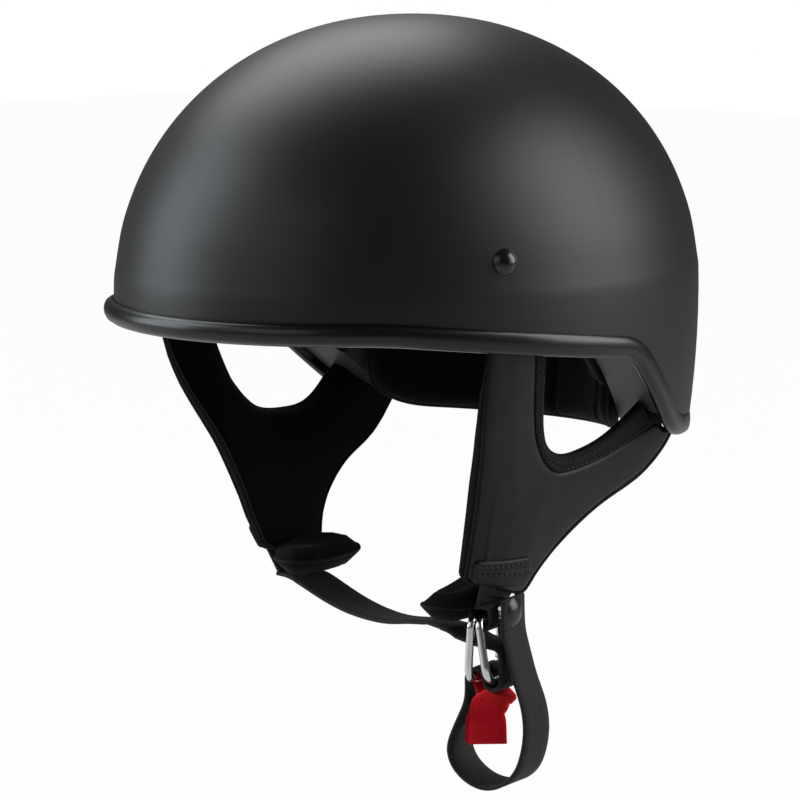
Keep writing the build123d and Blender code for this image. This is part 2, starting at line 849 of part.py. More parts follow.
# Pull tab: a doubled ribbon looped round the inner ring's bow
tab_outer = tab_bore + tab_ply
tab_foot = inner_bow[1] - tab_length
with BuildPart() as pull_tab:
    with BuildSketch(buckle_plane):
        with Locations(inner_bow):
            Circle(tab_outer)
            Rectangle(2 * tab_ply, tab_length, align=(Align.CENTER, Align.MAX))
            Circle(tab_bore, mode=Mode.SUBTRACT)
    extrude(amount=tab_neck / 2, both=True)
    with BuildSketch(buckle_plane):
        with Locations((inner_bow[0], tab_foot)):
            Rectangle(2 * tab_ply, tab_length - tab_neck_length, align=(Align.CENTER, Align.MIN))
    extrude(amount=tab_width / 2, both=True)
pull_tab.part.label = "pull_tab"
export_step(pull_tab.part, "parts/pull_tab.step")
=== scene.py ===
"""Half shell helmet: edge trim, comfort pads, ear flaps, straps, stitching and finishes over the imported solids."""
import math

import bmesh
import bpy
import numpy as np
from mathutils import Matrix, Vector, geometry, noise


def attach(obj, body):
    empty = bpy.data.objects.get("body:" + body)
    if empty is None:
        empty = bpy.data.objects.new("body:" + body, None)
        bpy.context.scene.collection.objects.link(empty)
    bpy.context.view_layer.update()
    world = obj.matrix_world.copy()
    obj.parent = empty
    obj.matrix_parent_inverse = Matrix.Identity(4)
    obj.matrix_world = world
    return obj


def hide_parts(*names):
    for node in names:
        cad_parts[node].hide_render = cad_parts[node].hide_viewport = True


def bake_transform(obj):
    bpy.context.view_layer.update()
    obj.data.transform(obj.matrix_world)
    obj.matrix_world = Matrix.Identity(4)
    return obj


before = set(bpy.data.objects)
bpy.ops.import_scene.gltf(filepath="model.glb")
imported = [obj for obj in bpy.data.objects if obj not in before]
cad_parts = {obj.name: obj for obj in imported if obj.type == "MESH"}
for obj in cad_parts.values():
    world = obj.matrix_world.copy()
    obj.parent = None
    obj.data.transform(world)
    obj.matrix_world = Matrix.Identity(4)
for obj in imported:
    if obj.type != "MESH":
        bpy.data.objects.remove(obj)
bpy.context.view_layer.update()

bl_info = {
    "name": "Half shell helmet finish",
    "version": (1, 0, 0),
    "blender": (4, 5, 0),
    "location": "3D View > Sidebar > Helmet",
    "description": "Trim, pads, ear flaps, straps and stitching of a half shell helmet",
    "category": "Add Mesh",
}

MM = 0.001
SIDES = ("left", "right")

# Gap given to a cord's points, which have no seam near them
FAR_FROM_SEAM = 9.0

# Shell and cavity in millimetres: half width, front reach, rear reach, rise above the waist
SHELL = np.array((115.0, 140.0, 143.0, 122.0))
CAVITY = np.array((87.3, 107.0, 110.0, 94.0))
WAIST = 18.0
SKIRT = 76.0
SKIRT_DRAW = 6.0
POWER = 2.1
ARC = 96.0

# Rim line seen from the side, as (along, level), with the radii of its bends
RIM_POINTS = ((-180, 11.2), (-100, 11.2), (18.6, -1.6), (62.2, -41.2), (183, -50.5))
RIM_BENDS = (160, 30, 35)

# Section of the edge trim as (out from the shell, up from the rim). The bead is in shares of how far it stands proud.
TRIM_LIP = (-0.02, 8.5)
TRIM_BEAD = ((0.22, 8.6), (0.5, 8.2), (0.8, 7.2), (0.95, 5.9), (1, 4.3), (0.95, 2.7), (0.75, 0.9), (0.3, -0.4))
TRIM_CHANNEL = (
    (-0.4, -0.95), (-1.5, -1.15), (-2.6, -1.05), (-3.6, -0.6), (-4.2, 0.4), (-4.4, 2.2), (-4.4, 6.4), (-4.2, 7.4),
    (-3.7, 8.0), (-3.1, 8.0), (-3.05, 1.5), (-0.02, 1.5),
)
BROW_EXTRA = 2.6

# Comfort pads of the band: first and last bearing, how far they hang below the rim, top level and seam bearings
BAND_PADS = {
    "brow_pad": (-150, -30, 0.6, 45.0, (-110, -70)),
    "neck_pad": (29, 151, 2.0, 21.5, (62, 90, 118)),
    "side_pad_left": (-24, 23.5, -1.4, 45.0, ()),
    "side_pad_right": (156.5, 204, -1.4, 45.0, ()),
}
PAD_RINGS = (0.6, 1.5, 2.8, 4.6, 6.6)

# Crown pad: its radius, and the bites between its lobes by radius and distance of their centres
CROWN_RADIUS = 57.0
BITE_RADIUS = 26.0
BITE_DISTANCE = 62.0
CROWN_SEAMS = ([(-30, 0), (30, 0)], [(0, -30), (0, 30)])

# Ear flap plane, and its edges as (along, up the flap)
LEAN = math.radians(20)
FLAP_FOOT = np.array((57.0, 0.0, -116.0))
ALONG = np.array((0.0, 1.0, 0.0))
RISE = np.array((math.sin(LEAN), 0.0, math.cos(LEAN)))
OUT = np.array((math.cos(LEAN), 0.0, -math.sin(LEAN)))
FRONT_EDGE = ((-58.2, 137), (-57.0, 129.8), (-52.8, 100.8), (-45.5, 76.9), (-38.9, 54.2), (-31.0, 18.9))
REAR_EDGE = (
    (4.0, 9.5), (9.2, 23.9), (21.1, 39.1), (40.0, 52.9), (60.1, 63.6), (66.4, 70.2), (70.6, 77.0), (72.4, 83.5),
    (73.2, 91.0),
)
HOLE_EDGE = (
    (-25.6, 134), (-20.4, 108), (-15.4, 92), (-8.2, 81.4), (2.0, 77), (12.0, 77.7), (24.9, 81.5), (40, 91), (58.1, 107),
)
SEAM_EDGE = (
    (-33, 134), (-28.6, 115), (-20.3, 90), (-11.2, 77.5), (0, 70.2), (13.2, 70.2), (26.4, 72.8), (42.2, 78.4),
    (58.1, 86.3), (79.2, 102.1),
)
# How far the flap's front edge is drawn in, at heights up the flap, and how much more on the right
TOE = ((21, 43, 57, 67, 82, 96), (4.2, 3.6, 3.0, 2.4, 1.0, 0.0))
RIGHT_DRAW = ((20, 33, 42, 52, 70, 80, 95, 110), (1.2, 1.0, 2.4, 2.8, 3.2, 2.7, 1.5, 0.0))

# Sewn patch and padded tongue at the flap's foot, with the tongue's level along the helmet
PATCH_EDGE = ((-32.8, 29.4), (-29.6, 18.4), (-1.6, 14.2), (2.6, 17.6), (-1.6, 30.0))
PATCH_ROWS = (np.array(((-29.4, 26.8), (-3.4, 27.2))), np.array(((-28.4, 22.6), (-2.0, 22.6))))
TONGUE_EDGE = (
    (58.8, -26), (50, -34), (39, -36.4), (33.4, -29.4), (34.2, -11), (33.8, 6), (40, 12), (50, 11.5), (58.8, 7),
)
TONGUE_LEVEL = ((-34, -25, -18, -11, 0, 10), (-111.8, -112.2, -111.0, -109.0, -105.2, -101.8))

# Hinges of the left flap at the rim
FRONT_HINGE = np.array((100.599, -42.0, 3.92))
REAR_HINGE = np.array((88.949, 60.0, -39.621))

# Buckle plane: outward from the jaw, and along the rings' bars
BUCKLE = np.array((58.0, -12.0, 0.0))
BUCKLE_OUT = np.array((0.970296, 0.241922, 0.0))
BUCKLE_ALONG = np.array((-0.241922, 0.970296, 0.0))
UP = np.array((0.0, 0.0, 1.0))

# Rivets of the retention straps, as bearing and level on the shell
RIVETS = {"front": (-22.85, 43.4), "rear": (63.0, 15.0)}

# Chin strap from the right flap's foot to the buckle, where it comes in there, the bends of its fold, how far its
# middle keeps from the bows' middles, and its tilt at distances before and after the buckle
CHIN_SAG = (
    (-60.96, -12, -111.6), (-56.5, -12, -111.7), (-50.0, -12, -112.6), (-43.0, -12.3, -114.6), (-36.0, -12.6, -117.0),
    (-23.5, -13.0, -120.9), (-5.0, -13.6, -124.2), (8.0, -14.0, -124.6), (22.0, -14.6, -123.0), (33.0, -15.0, -121.9),
)
STRAP_ENTRY = (-14.5, -122.9)
FOLD_BENDS = (14.0, 4.0, 3.9, 3.9, 3.6, 4.0)
ROUND_BOW, INSIDE_BOW, OVER_BOW = 3.9, 3.3, 4.9
CHIN_TILT = ((-60, -34, -22, -12, -3, 4, 12), (0.0, -0.05, -0.09, -0.09, -0.06, 0.10, 0.0))

# The eye that holds the rings, and the tail's loop, as (outward, level).
EYE_LOOP = ((0.9, -111.2), (5.7, -111.2), (5.7, -121.3), (-3.9, -121.3), (-3.9, -111.2), (0.9, -111.2))
EYE_BENDS = (2.0, 4.7, 4.7, 2.0)
TAIL_DROP = (
    (-6.0, -152.5), (-8.2, -158.4), (-12.2, -167.5), (-13.8, -174.3), (-12.2, -180.4), (-7.8, -185.5), (-1.6, -189.0),
    (5.0, -190.0), (12.2, -187.9), (18.4, -182.6), (22.0, -174.2), (23.4, -163.4), (21.4, -151.3), (17.6, -141.2),
    (14.6, -131.0), (12.3, -121.5), (11.9, -113.6), (11.9, -107.0),
)
NECK_LENGTH = 13.0

# The rings: level of their bars, reach of their bows, and the middle and half of the space between them
RING_LEVEL = -116.5
BOW_REACH = 27.0
RING_MIDDLE = 0.9
RING_ASIDE = 1.85

# Pull tab as (aside, above the inner ring's bow), with tables by height for its shift outward and its width
TAB_FRONT = (
    (0.3, -29.4), (0.8, -24.0), (1.0, -19.0), (0.55, -15.4), (2.2, -11.5), (3.5, -7.0), (3.3, -3.0), (2.6, 0.8),
    (1.3, 2.7), (0.0, 3.1),
)
TAB_REAR = (
    (-1.3, 2.7), (-2.6, 0.8), (-3.0, -3.0), (-2.9, -7.0), (-1.9, -11.5), (-0.55, -15.4), (-1.6, -19.5), (-2.7, -24.5),
    (-2.2, -29.2),
)
TAB_SHIFT = ((-30, -21, -14, -7, -2), (2.3, 2.2, 1.6, 5.6, 1.6))
TAB_DEPTHS = (-3, 2, 5, 9, 15.4, 19, 30)
TAB_TWIST = math.radians(60)
TAB_BEND = 45.0

# Camera, and the lamps as places to its right, above and behind it, with size, power and colour, in metres
AZIMUTH, ELEVATION = math.radians(43.0), math.radians(7.9843)
DISTANCE, LENS = 1.8, 184.13
TARGET = (-2.787, -2.599, -29.316)
FLOOR_LEVEL = -0.42
LAMPS = {
    "left_box": ((-1.72, 0.74, -0.05), 1.3, 1.85, 28, (0.90, 0.96, 1.0)),
    "right_box": ((1.75, 0.76, 0.12), 1.2, 1.6, 26, (1.0, 0.99, 0.95)),
    "crown_box": ((-0.42, 1.70, -0.85), 1.7, 1.3, 26, (0.97, 0.99, 1.0)),
    "front_fill": ((-1.15, 0.65, 1.50), 1.5, 1.5, 5, (0.95, 0.98, 1.0)),
}


def unit(vectors):
    """Vectors brought to length one."""
    vectors = np.asarray(vectors, float)
    return vectors / np.maximum(np.linalg.norm(vectors, axis=-1, keepdims=True), 1e-9)


def run_of(points):
    """Distance gone at each point of a line."""
    return np.concatenate([[0], np.cumsum(np.linalg.norm(np.diff(points, axis=0), axis=1))])


def evenly(points, count):
    """Points shared out evenly along a line."""
    points = np.asarray(points, float)
    run = run_of(points)
    at = np.linspace(0, run[-1], count)
    return np.stack([np.interp(at, run, points[:, k]) for k in range(points.shape[1])], axis=1)


def length_of(points):
    """Length of a line of points."""
    return float(np.linalg.norm(np.diff(np.asarray(points, float), axis=0), axis=1).sum())


def smooth_through(points, count):
    """Points evenly along a natural cubic curve through the given ones."""
    points = np.asarray(points, float)
    last = len(points) - 1
    chord = run_of(points)
    step = np.diff(chord)
    system = np.eye(last + 1)
    pull = np.zeros_like(points)
    for i in range(1, last):
        system[i, i - 1 : i + 2] = step[i - 1], 2 * (step[i - 1] + step[i]), step[i]
        pull[i] = 6 * ((points[i + 1] - points[i]) / step[i] - (points[i] - points[i - 1]) / step[i - 1])
    bend = np.linalg.solve(system, pull)
    fine = np.linspace(0, chord[-1], 12 * last + 4 * count)
    i = np.clip(np.searchsorted(chord, fine, side="right") - 1, 0, last - 1)
    span = step[i][:, None]
    a = (chord[i + 1] - fine)[:, None] / span
    b = (fine - chord[i])[:, None] / span
    curve = a * points[i] + b * points[i + 1] + ((a**3 - a) * bend[i] + (b**3 - b) * bend[i + 1]) * span**2 / 6
    return evenly(curve, count)


def rounded(points, radii, step=1.0):
    """Straight runs whose corners are rounded by arcs."""
    points = [np.asarray(p, float) for p in points]
    route = [points[0]]
    for before, corner, after, radius in zip(points, points[1:], points[2:], radii):
        back, on = unit(before - corner), unit(after - corner)
        half = math.acos(max(-1, min(1, float(back @ on)))) / 2
        if half > math.radians(89.5):
            route.append(corner)
            continue
        centre = corner + unit(back + on) * radius / math.sin(half)
        start = corner + back * radius / math.tan(half) - centre
        end = corner + on * radius / math.tan(half) - centre
        turn = math.acos(max(-1, min(1, float(unit(start) @ unit(end)))))
        count = max(3, int(radius * turn / step))
        for k in range(count + 1):
            share = k / count
            arm = math.sin((1 - share) * turn) * start + math.sin(share * turn) * end
            route.append(centre + arm / math.sin(turn))
    route.append(points[-1])
    return np.array(route)


def eased(points, rounds):
    """A line with its bumps evened out, its ends held."""
    points = np.array(points, float)
    for _ in range(rounds):
        points[1:-1] = (points[:-2] + 2 * points[1:-1] + points[2:]) / 4
    return points


def eased_loop(loop, rounds):
    """A closed loop with its bumps evened out."""
    return eased(np.vstack([loop] * 3), rounds)[len(loop) : 2 * len(loop)]


def beside(line):
    """Directions to the left of a flat line."""
    run = unit(np.gradient(line, axis=0))
    return np.stack([-run[:, 1], run[:, 0]], axis=1)


RIM_LINE = rounded(RIM_POINTS, RIM_BENDS, 2.0)


def rim_level(along):
    """Level of the rim's lower edge at a place along the helmet."""
    return np.interp(along, RIM_LINE[:, 0], RIM_LINE[:, 1])


def dome_spot(sizes, bearing, level):
    """Points on a dome at bearings in radians and at levels."""
    bearing, level = np.broadcast_arrays(np.asarray(bearing, float), np.asarray(level, float))
    sizes = np.broadcast_to(np.asarray(sizes, float), bearing.shape + (4,))
    half, rise = sizes[..., 0], sizes[..., 3]
    lift = np.clip((level - WAIST) / rise, 0, 1)
    drop = np.clip((WAIST - level) / SKIRT, 0, 1.2)
    share = (1 - lift**POWER) ** (1 / POWER) - SKIRT_DRAW * drop**2 / half
    reach = np.where(np.sin(bearing) > 0, sizes[..., 2], sizes[..., 1])
    return np.stack([half * share * np.cos(bearing), reach * share * np.sin(bearing), level], axis=-1)


def dome_over(sizes, across, along):
    """Points on a dome's crown over places seen from above."""
    reach = np.where(along > 0, sizes[..., 2], sizes[..., 1])
    share = np.clip(np.hypot(across / sizes[..., 0], along / reach), 0, 0.995)
    return np.stack([across, along, WAIST + sizes[..., 3] * (1 - share**POWER) ** (1 / POWER)], axis=-1)


def flap_face(height):
    """How far the flap's outer face stands off its plane."""
    return 6.5 - (height - 60.0) ** 2 / 1028.0


def to_front(along):
    """Share of the way from the flap's middle to its front edge."""
    return np.clip((-4.0 - along) / 38.0, 0, 1) ** 1.3


def flap_toe(flat):
    """How far the strap's pull draws the flap's front edge in towards the chin."""
    return to_front(flat[:, 0]) * np.interp(flat[:, 1], *TOE)


def hung_loosely(points):
    """The right flap as its strap leaves it: front edge drawn in further, ear hole shallower, rear end longer."""
    points = np.array(points, float)
    off = points - FLAP_FOOT
    along, rise = off @ ALONG, off @ RISE
    draw = to_front(along) * np.interp(rise, *RIGHT_DRAW)
    lift = 3.2 * np.exp(-(((along - 3) / 15) ** 2) - ((rise - 76) / 11) ** 2)
    reach = 8.0 * np.clip((rise - 62) / 18, 0, 1) ** 2 * np.clip((along - 40) / 25, 0, 1)
    reach -= 1.4 * np.clip((along - 5) / 15, 0, 1) * np.interp(rise, (18, 28, 60, 68), (0, 1, 1, 0))
    reach -= 2.4 * np.interp(along, (-36, -26, -8, 0), (0, 1, 1, 0)) * np.clip((rise - 84) / 12, 0, 1)
    return points - draw[:, None] * OUT + lift[:, None] * RISE + reach[:, None] * ALONG


def flap_spot(flat, out):
    """Places on the left flap from (along, up the flap) and a distance off its plane."""
    out = np.asarray(out, float) - flap_toe(flat)
    return FLAP_FOOT + flat[:, :1] * ALONG + flat[:, 1:2] * RISE + out[:, None] * OUT


def flap_top(along):
    """Height up the flap at which it goes in under the liner."""
    return (rim_level(along) + 2.0 - FLAP_FOOT[2]) / RISE[2]


def buckle_spot(outward, level, along=0.0):
    """A place by the buckle."""
    return BUCKLE + outward * BUCKLE_OUT + along * BUCKLE_ALONG + level * UP


def gap_to(points, line, closed=False):
    """Distance of flat points from a line."""
    line = np.asarray(line, float)
    if closed:
        line = np.vstack([line, line[:1]])
    start, run = line[:-1], np.diff(line, axis=0)
    best = np.full(len(points), 1e9)
    for a, d in zip(start, run):
        share = np.clip(((points - a) @ d) / max(float(d @ d), 1e-12), 0, 1)
        best = np.minimum(best, ((points - a - share[:, None] * d) ** 2).sum(1))
    return np.sqrt(best)


def inside(points, loop):
    """Which flat points lie in a loop."""
    x, y = points[:, 0], points[:, 1]
    found = np.zeros(len(points), bool)
    for (x0, y0), (x1, y1) in zip(loop, np.roll(loop, -1, axis=0)):
        if y0 == y1:
            continue
        crosses = (y0 > y) != (y1 > y)
        found ^= crosses & (x < (x1 - x0) * (y - y0) / (y1 - y0) + x0)
    return found


def rolled(gap, radius):
    """Share of drop at a rolled edge: 1 at the edge, 0 from radius on."""
    return 1 - np.sqrt(np.clip(1 - (1 - np.clip(gap / radius, 0, 1)) ** 2, 0, 1))


def ripple(points, size, seed):
    """Soft uneven swell over points, between -1 and 1."""
    return np.array([noise.noise(Vector((*(p / size), seed / size))) for p in points])


def slab(outline, top, bottom, place, spacing=2.2, ceiling=None, rings=(0.5, 1.2, 2.2, 3.6)):
    """A closed form over a flat outline. top and bottom give heights for points and their gaps from the edge."""
    outline = np.asarray(outline, float)
    low, high = outline.min(0), outline.max(0)
    columns, rows = (np.arange(low[k], high[k], spacing) for k in (0, 1))
    grid = np.stack(np.meshgrid(columns, rows), -1).reshape(-1, 2)
    grid[:, 0] += (np.round(grid[:, 1] / spacing) % 2) * spacing / 2
    grid = grid[inside(grid, outline)]
    grid = grid[gap_to(grid, outline, True) > rings[-1] + 0.5 * spacing]
    run = unit(np.roll(outline, -1, axis=0) - np.roll(outline, 1, axis=0))
    inward = np.stack([-run[:, 1], run[:, 0]], axis=1)
    extra = [grid]
    for ring in rings:
        moved = outline + inward * ring
        keep = inside(moved, outline)
        moved = moved[keep]
        extra.append(moved[gap_to(moved, outline, True) > 0.9 * ring])
    flat = np.vstack([outline, *extra])
    edges = []
    if ceiling is not None:
        line = np.array([(x, ceiling(x)) for x in np.arange(low[0] - 4, high[0] + 4, 2.0)])
        edges = [(len(flat) + i, len(flat) + i + 1) for i in range(len(line) - 1)]
        flat = np.vstack([flat, line])
    loop = list(range(len(outline)))
    verts, _, faces, *_ = geometry.delaunay_2d_cdt([Vector(p) for p in flat], edges, [loop], 1, 1e-4)
    flat = np.array([tuple(v) for v in verts])
    middle = np.array([flat[list(f)].mean(0) for f in faces])
    kept = inside(middle, outline)
    if ceiling is not None:
        kept &= middle[:, 1] < ceiling(middle[:, 0])
    faces = [f for f, keep in zip(faces, kept) if keep]
    used = sorted({i for f in faces for i in f})
    place_of = {old: new for new, old in enumerate(used)}
    flat = flat[used]
    faces = [tuple(place_of[i] for i in f) for f in faces]
    gap = gap_to(flat, outline, True)
    upper = place(flat, top(flat, gap))
    lower = place(flat, bottom(flat, gap))
    count = len(flat)
    sides = {}
    for f in faces:
        for a, b in zip(f, f[1:] + f[:1]):
            if sides.pop((b, a), None) is None:
                sides[(a, b)] = True
    body = list(faces) + [tuple(i + count for i in reversed(f)) for f in faces]
    body += [(a + count, b + count, b, a) for a, b in sides]
    return np.vstack([upper, lower]), body, np.vstack([flat, flat]), np.concatenate([gap, gap])


def swept(mesh, closed=False):
    """Faces round and along rows of points, with both ends capped unless closed."""
    n, m = mesh.shape[:2]
    faces = [
        (i * m + j, i * m + (j + 1) % m, (i + 1) % n * m + (j + 1) % m, (i + 1) % n * m + j)
        for i in range(n if closed else n - 1)
        for j in range(m)
    ]
    if not closed:
        faces += [tuple(range(m - 1, -1, -1)), tuple((n - 1) * m + j for j in range(m))]
    return faces


def unrolled(around, far):
    """The flat map of a sweep: places around its section and along its run."""
    around = np.broadcast_to(around, (len(far), np.shape(around)[-1]))
    return np.stack([around, np.broadcast_to(far[:, None], around.shape)], -1).reshape(-1, 2)


def ribbon(points, across, width, thickness):
    """Closed flat webbing along points, with its width along the across vectors."""
    points = np.asarray(points, float)
    run = unit(np.gradient(points, axis=0))
    across = np.broadcast_to(np.asarray(across, float), points.shape)
    across = unit(across - (across * run).sum(1)[:, None] * run)
    face = np.cross(across, run)
    width = np.broadcast_to(np.asarray(width, float), (len(points),))
    edge = 0.42 * thickness
    spots = [(-1, 0, 0), (-1, edge, 0.5), (-0.5, 0, 0.5), (0, 0, 0.5), (0.5, 0, 0.5), (1, -edge, 0.5), (1, 0, 0)]
    spots += [(1, -edge, -0.5), (0.5, 0, -0.5), (0, 0, -0.5), (-0.5, 0, -0.5), (-1, edge, -0.5)]
    rows = []
    for share, shift, lift in spots:
        side = share * width / 2 + shift
        rows.append(points + across * side[:, None] + face * (lift * thickness))
    mesh = np.stack(rows, axis=1)
    share = np.array([s[0] / 2 for s in spots])
    gap = (0.5 - np.abs(share)) * width[:, None]
    return mesh.reshape(-1, 3), swept(mesh), unrolled(share * width[:, None], run_of(points)), gap.reshape(-1)


def tube(points, radius, closed=False, sides=8):
    """A round cord along points."""
    points = np.asarray(points, float)
    ahead = np.roll(points, -1, 0) - np.roll(points, 1, 0) if closed else np.gradient(points, axis=0)
    run = unit(ahead)
    guide = np.array((0.31, 0.22, 0.92))
    frame_side = unit(np.cross(run, guide))
    lift = np.cross(frame_side, run)
    angles = np.arange(sides) * 2 * math.pi / sides
    ring = np.cos(angles)[None, :, None] * frame_side[:, None] + np.sin(angles)[None, :, None] * lift[:, None]
    mesh = points[:, None] + radius * ring
    far = np.arange(len(points)) * length_of(points) / (len(points) - 1)
    gap = np.full(mesh.size // 3, FAR_FROM_SEAM)
    return mesh.reshape(-1, 3), swept(mesh, closed), unrolled(angles * radius, far), gap


def strip(path, low, high, bulge, thickness):
    """A side wall along a flat path: from low to high off the plane, bulging out to the path's right."""
    path = np.asarray(path, float)
    run = unit(np.gradient(path, axis=0))
    outward = np.stack([run[:, 1], -run[:, 0]], axis=1)
    shares = np.linspace(0, 1, 7)
    rows = []
    for share in shares:
        swell = bulge * math.sin(math.pi * share) + 0.15
        rows.append(flap_spot(path + outward * swell, low + (high - low) * share))
    for share in shares[::-1]:
        rows.append(flap_spot(path - outward * thickness, low + (high - low) * (0.06 + 0.88 * share)))
    mesh = np.stack(rows, axis=1)
    n, m = mesh.shape[:2]
    return mesh.reshape(-1, 3), swept(mesh), unrolled(np.arange(m) * 1.0, run_of(path)), np.full(n * m, 2.0)


def joined(*forms):
    """Several forms in one list of points and faces."""
    points, faces, pattern, gap, offset = [], [], [], [], 0
    for p, f, u, g in forms:
        points.append(p)
        faces += [tuple(i + offset for i in face) for face in f]
        pattern.append(u)
        gap.append(g)
        offset += len(p)
    return np.vstack(points), faces, np.vstack(pattern), np.concatenate(gap)


def placed(name, data):
    """A new object in the scene."""
    thing = bpy.data.objects.new(name, data)
    bpy.context.scene.collection.objects.link(thing)
    return thing


def make_piece(name, form, finish, side="left"):
    """A mesh object from a form in millimetres. The right side is the left one mirrored."""
    points, faces, pattern, gap = form
    points = np.array(points, float) * MM
    if side == "right":
        points[:, 0] *= -1
    mesh = bpy.data.meshes.new(name)
    mesh.from_pydata([tuple(p) for p in points], [], [tuple(int(i) for i in f) for f in faces])
    layer = mesh.uv_layers.new(name="UVMap")
    spot = np.array([v.vertex_index for v in mesh.loops])
    layer.data.foreach_set("uv", (np.asarray(pattern, float)[spot] * MM).astype(np.float32).ravel())
    field = mesh.attributes.new("seam_gap", "FLOAT", "POINT")
    field.data.foreach_set("value", (np.asarray(gap, float) * MM).astype(np.float32))
    work = bmesh.new()
    work.from_mesh(mesh)
    bmesh.ops.recalc_face_normals(work, faces=work.faces)
    work.to_mesh(mesh)
    work.free()
    for polygon in mesh.polygons:
        polygon.use_smooth = True
    mesh.materials.append(finish)
    piece = placed(name, mesh)
    return piece


def bends_at_rim(piece, side):
    """Bakes a flap piece's placement into its mesh. The line where the flap meets the helmet is worked out but not
    used.
    """
    run = unit(REAR_HINGE - FRONT_HINGE)
    rise = unit(RISE - (RISE @ run) * run)
    start, end = FRONT_HINGE + 5.0 * rise, FRONT_HINGE - 9.0 * rise
    flip = np.array((-1.0 if side == "right" else 1.0, 1.0, 1.0))
    tuple(start * flip * MM)
    tuple(end * flip * MM)
    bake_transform(piece)


class Socket:
    """A shader socket that Python's operators turn into Math nodes."""

    def __init__(self, maker, output):
        self.maker = maker
        self.output = output

    def _math(self, operation, *values):
        return self.maker.add("ShaderNodeMath", {"operation": operation}, values)

    def __add__(self, other):
        return self._math("ADD", self, other)

    def __radd__(self, other):
        return self._math("ADD", other, self)

    def __sub__(self, other):
        return self._math("SUBTRACT", self, other)

    def __rsub__(self, other):
        return self._math("SUBTRACT", other, self)

    def __mul__(self, other):
        return self._math("MULTIPLY", self, other)

    def __truediv__(self, other):
        return self._math("DIVIDE", self, other)

    def sine(self):
        return self._math("SINE", self)

    def size(self):
        return self._math("ABSOLUTE", self)

    def fraction(self):
        return self._math("FRACT", self)

    def clipped(self):
        return self.maker.add("ShaderNodeClamp", {}, (self, 0.0, 1.0))


class Finish:
    """One material, built up from sockets."""

    def __init__(self, name):
        self.material = bpy.data.materials.new(name)
        self.material.use_nodes = True
        self.tree = self.material.node_tree
        self.tree.nodes.clear()

    def add(self, kind, settings=None, values=(), output=0):
        """A node of a type, with its settings, and the values or links of its sockets."""
        node = self.tree.nodes.new(kind)
        for key, value in (settings or {}).items():
            setattr(node, key, value)
        pairs = values.items() if isinstance(values, dict) else enumerate(values)
        for key, value in pairs:
            if isinstance(value, Socket):
                self.tree.links.new(value.output, node.inputs[key])
            else:
                node.inputs[key].default_value = value
        return Socket(self, node.outputs[output]) if len(node.outputs) else None

    def place(self):
        return self.add("ShaderNodeTexCoord", output="Object")

    def pattern(self):
        """(across, along) of the piece's own UV map, in metres."""
        split = self.add("ShaderNodeSeparateXYZ", {}, (self.add("ShaderNodeTexCoord", output="UV"),))
        return split, Socket(self, split.output.node.outputs[1])

    def seam_gap(self):
        """Distance from the piece's own edge, in metres."""
        return self.add("ShaderNodeAttribute", {"attribute_name": "seam_gap"}, output="Fac")

    def grain(self, scale, detail):
        values = {"Vector": self.place(), "Scale": scale, "Detail": detail, "Roughness": 0.5}
        return self.add("ShaderNodeTexNoise", {}, values)

    def cells(self, scale, feature="F1"):
        return self.add("ShaderNodeTexVoronoi", {"feature": feature}, {"Vector": self.place(), "Scale": scale})

    def mix(self, factor, first, second):
        first = first if isinstance(first, Socket) else (*first, 1.0)
        second = second if isinstance(second, Socket) else (*second, 1.0)
        return self.add("ShaderNodeMix", {"data_type": "RGBA"}, {0: factor, 6: first, 7: second}, output=2)

    def bump(self, height, strength, distance, under=None):
        values = {"Strength": strength, "Distance": distance, "Height": height}
        if under is not None:
            values["Normal"] = under
        return self.add("ShaderNodeBump", {}, values)

    def done(self, colour, roughness, normal=None, metallic=0.0, **fixed):
        """Ends the material. fixed holds plain numbers of the shader's own sockets."""
        colour = colour if isinstance(colour, Socket) else (*colour, 1.0)
        values = {"Base Color": colour, "Roughness": roughness, "Metallic": metallic}
        for key, value in fixed.items():
            values[key.replace("_", " ").title().replace("Ior", "IOR")] = value
        if normal is not None:
            values["Normal"] = normal
        shader = self.add("ShaderNodeBsdfPrincipled", {}, values)
        self.add("ShaderNodeOutputMaterial", {}, (shader,))
        return self.material


def shade(colour, share):
    """A colour made darker or lighter."""
    return tuple(c * share for c in colour)


def matt_shell_paint(colour):
    """Matt black paint over a moulded shell, with a faint orange peel."""
    f = Finish("matt shell paint")
    cloud = f.grain(14, 3)
    speck = f.grain(1600, 2)
    tone = f.mix(cloud, shade(colour, 0.9), shade(colour, 1.14))
    peel = f.bump(f.grain(420, 2), 0.05, 0.0004)
    return f.done(tone, 0.40 + speck * 0.08 + cloud * 0.03, f.bump(speck, 0.06, 0.0002, peel))


def rubber_trim(colour):
    """Moulded rubber with a dull skin."""
    f = Finish("rubber trim")
    skin = f.grain(900, 3)
    tone = f.mix(f.grain(30, 2), colour, shade(colour, 1.5))
    return f.done(tone, 0.24 + skin * 0.10, f.bump(skin, 0.05, 0.0003))


def liner_foam(colour):
    """Smooth skinned expanded foam, with its beads just showing."""
    f = Finish("liner foam")
    beads = f.cells(330, "DISTANCE_TO_EDGE")
    tone = f.mix(f.grain(60, 3), shade(colour, 0.8), shade(colour, 1.25))
    return f.done(tone, 0.42 + f.grain(500, 2) * 0.14, f.bump(beads, 0.14, 0.0003))


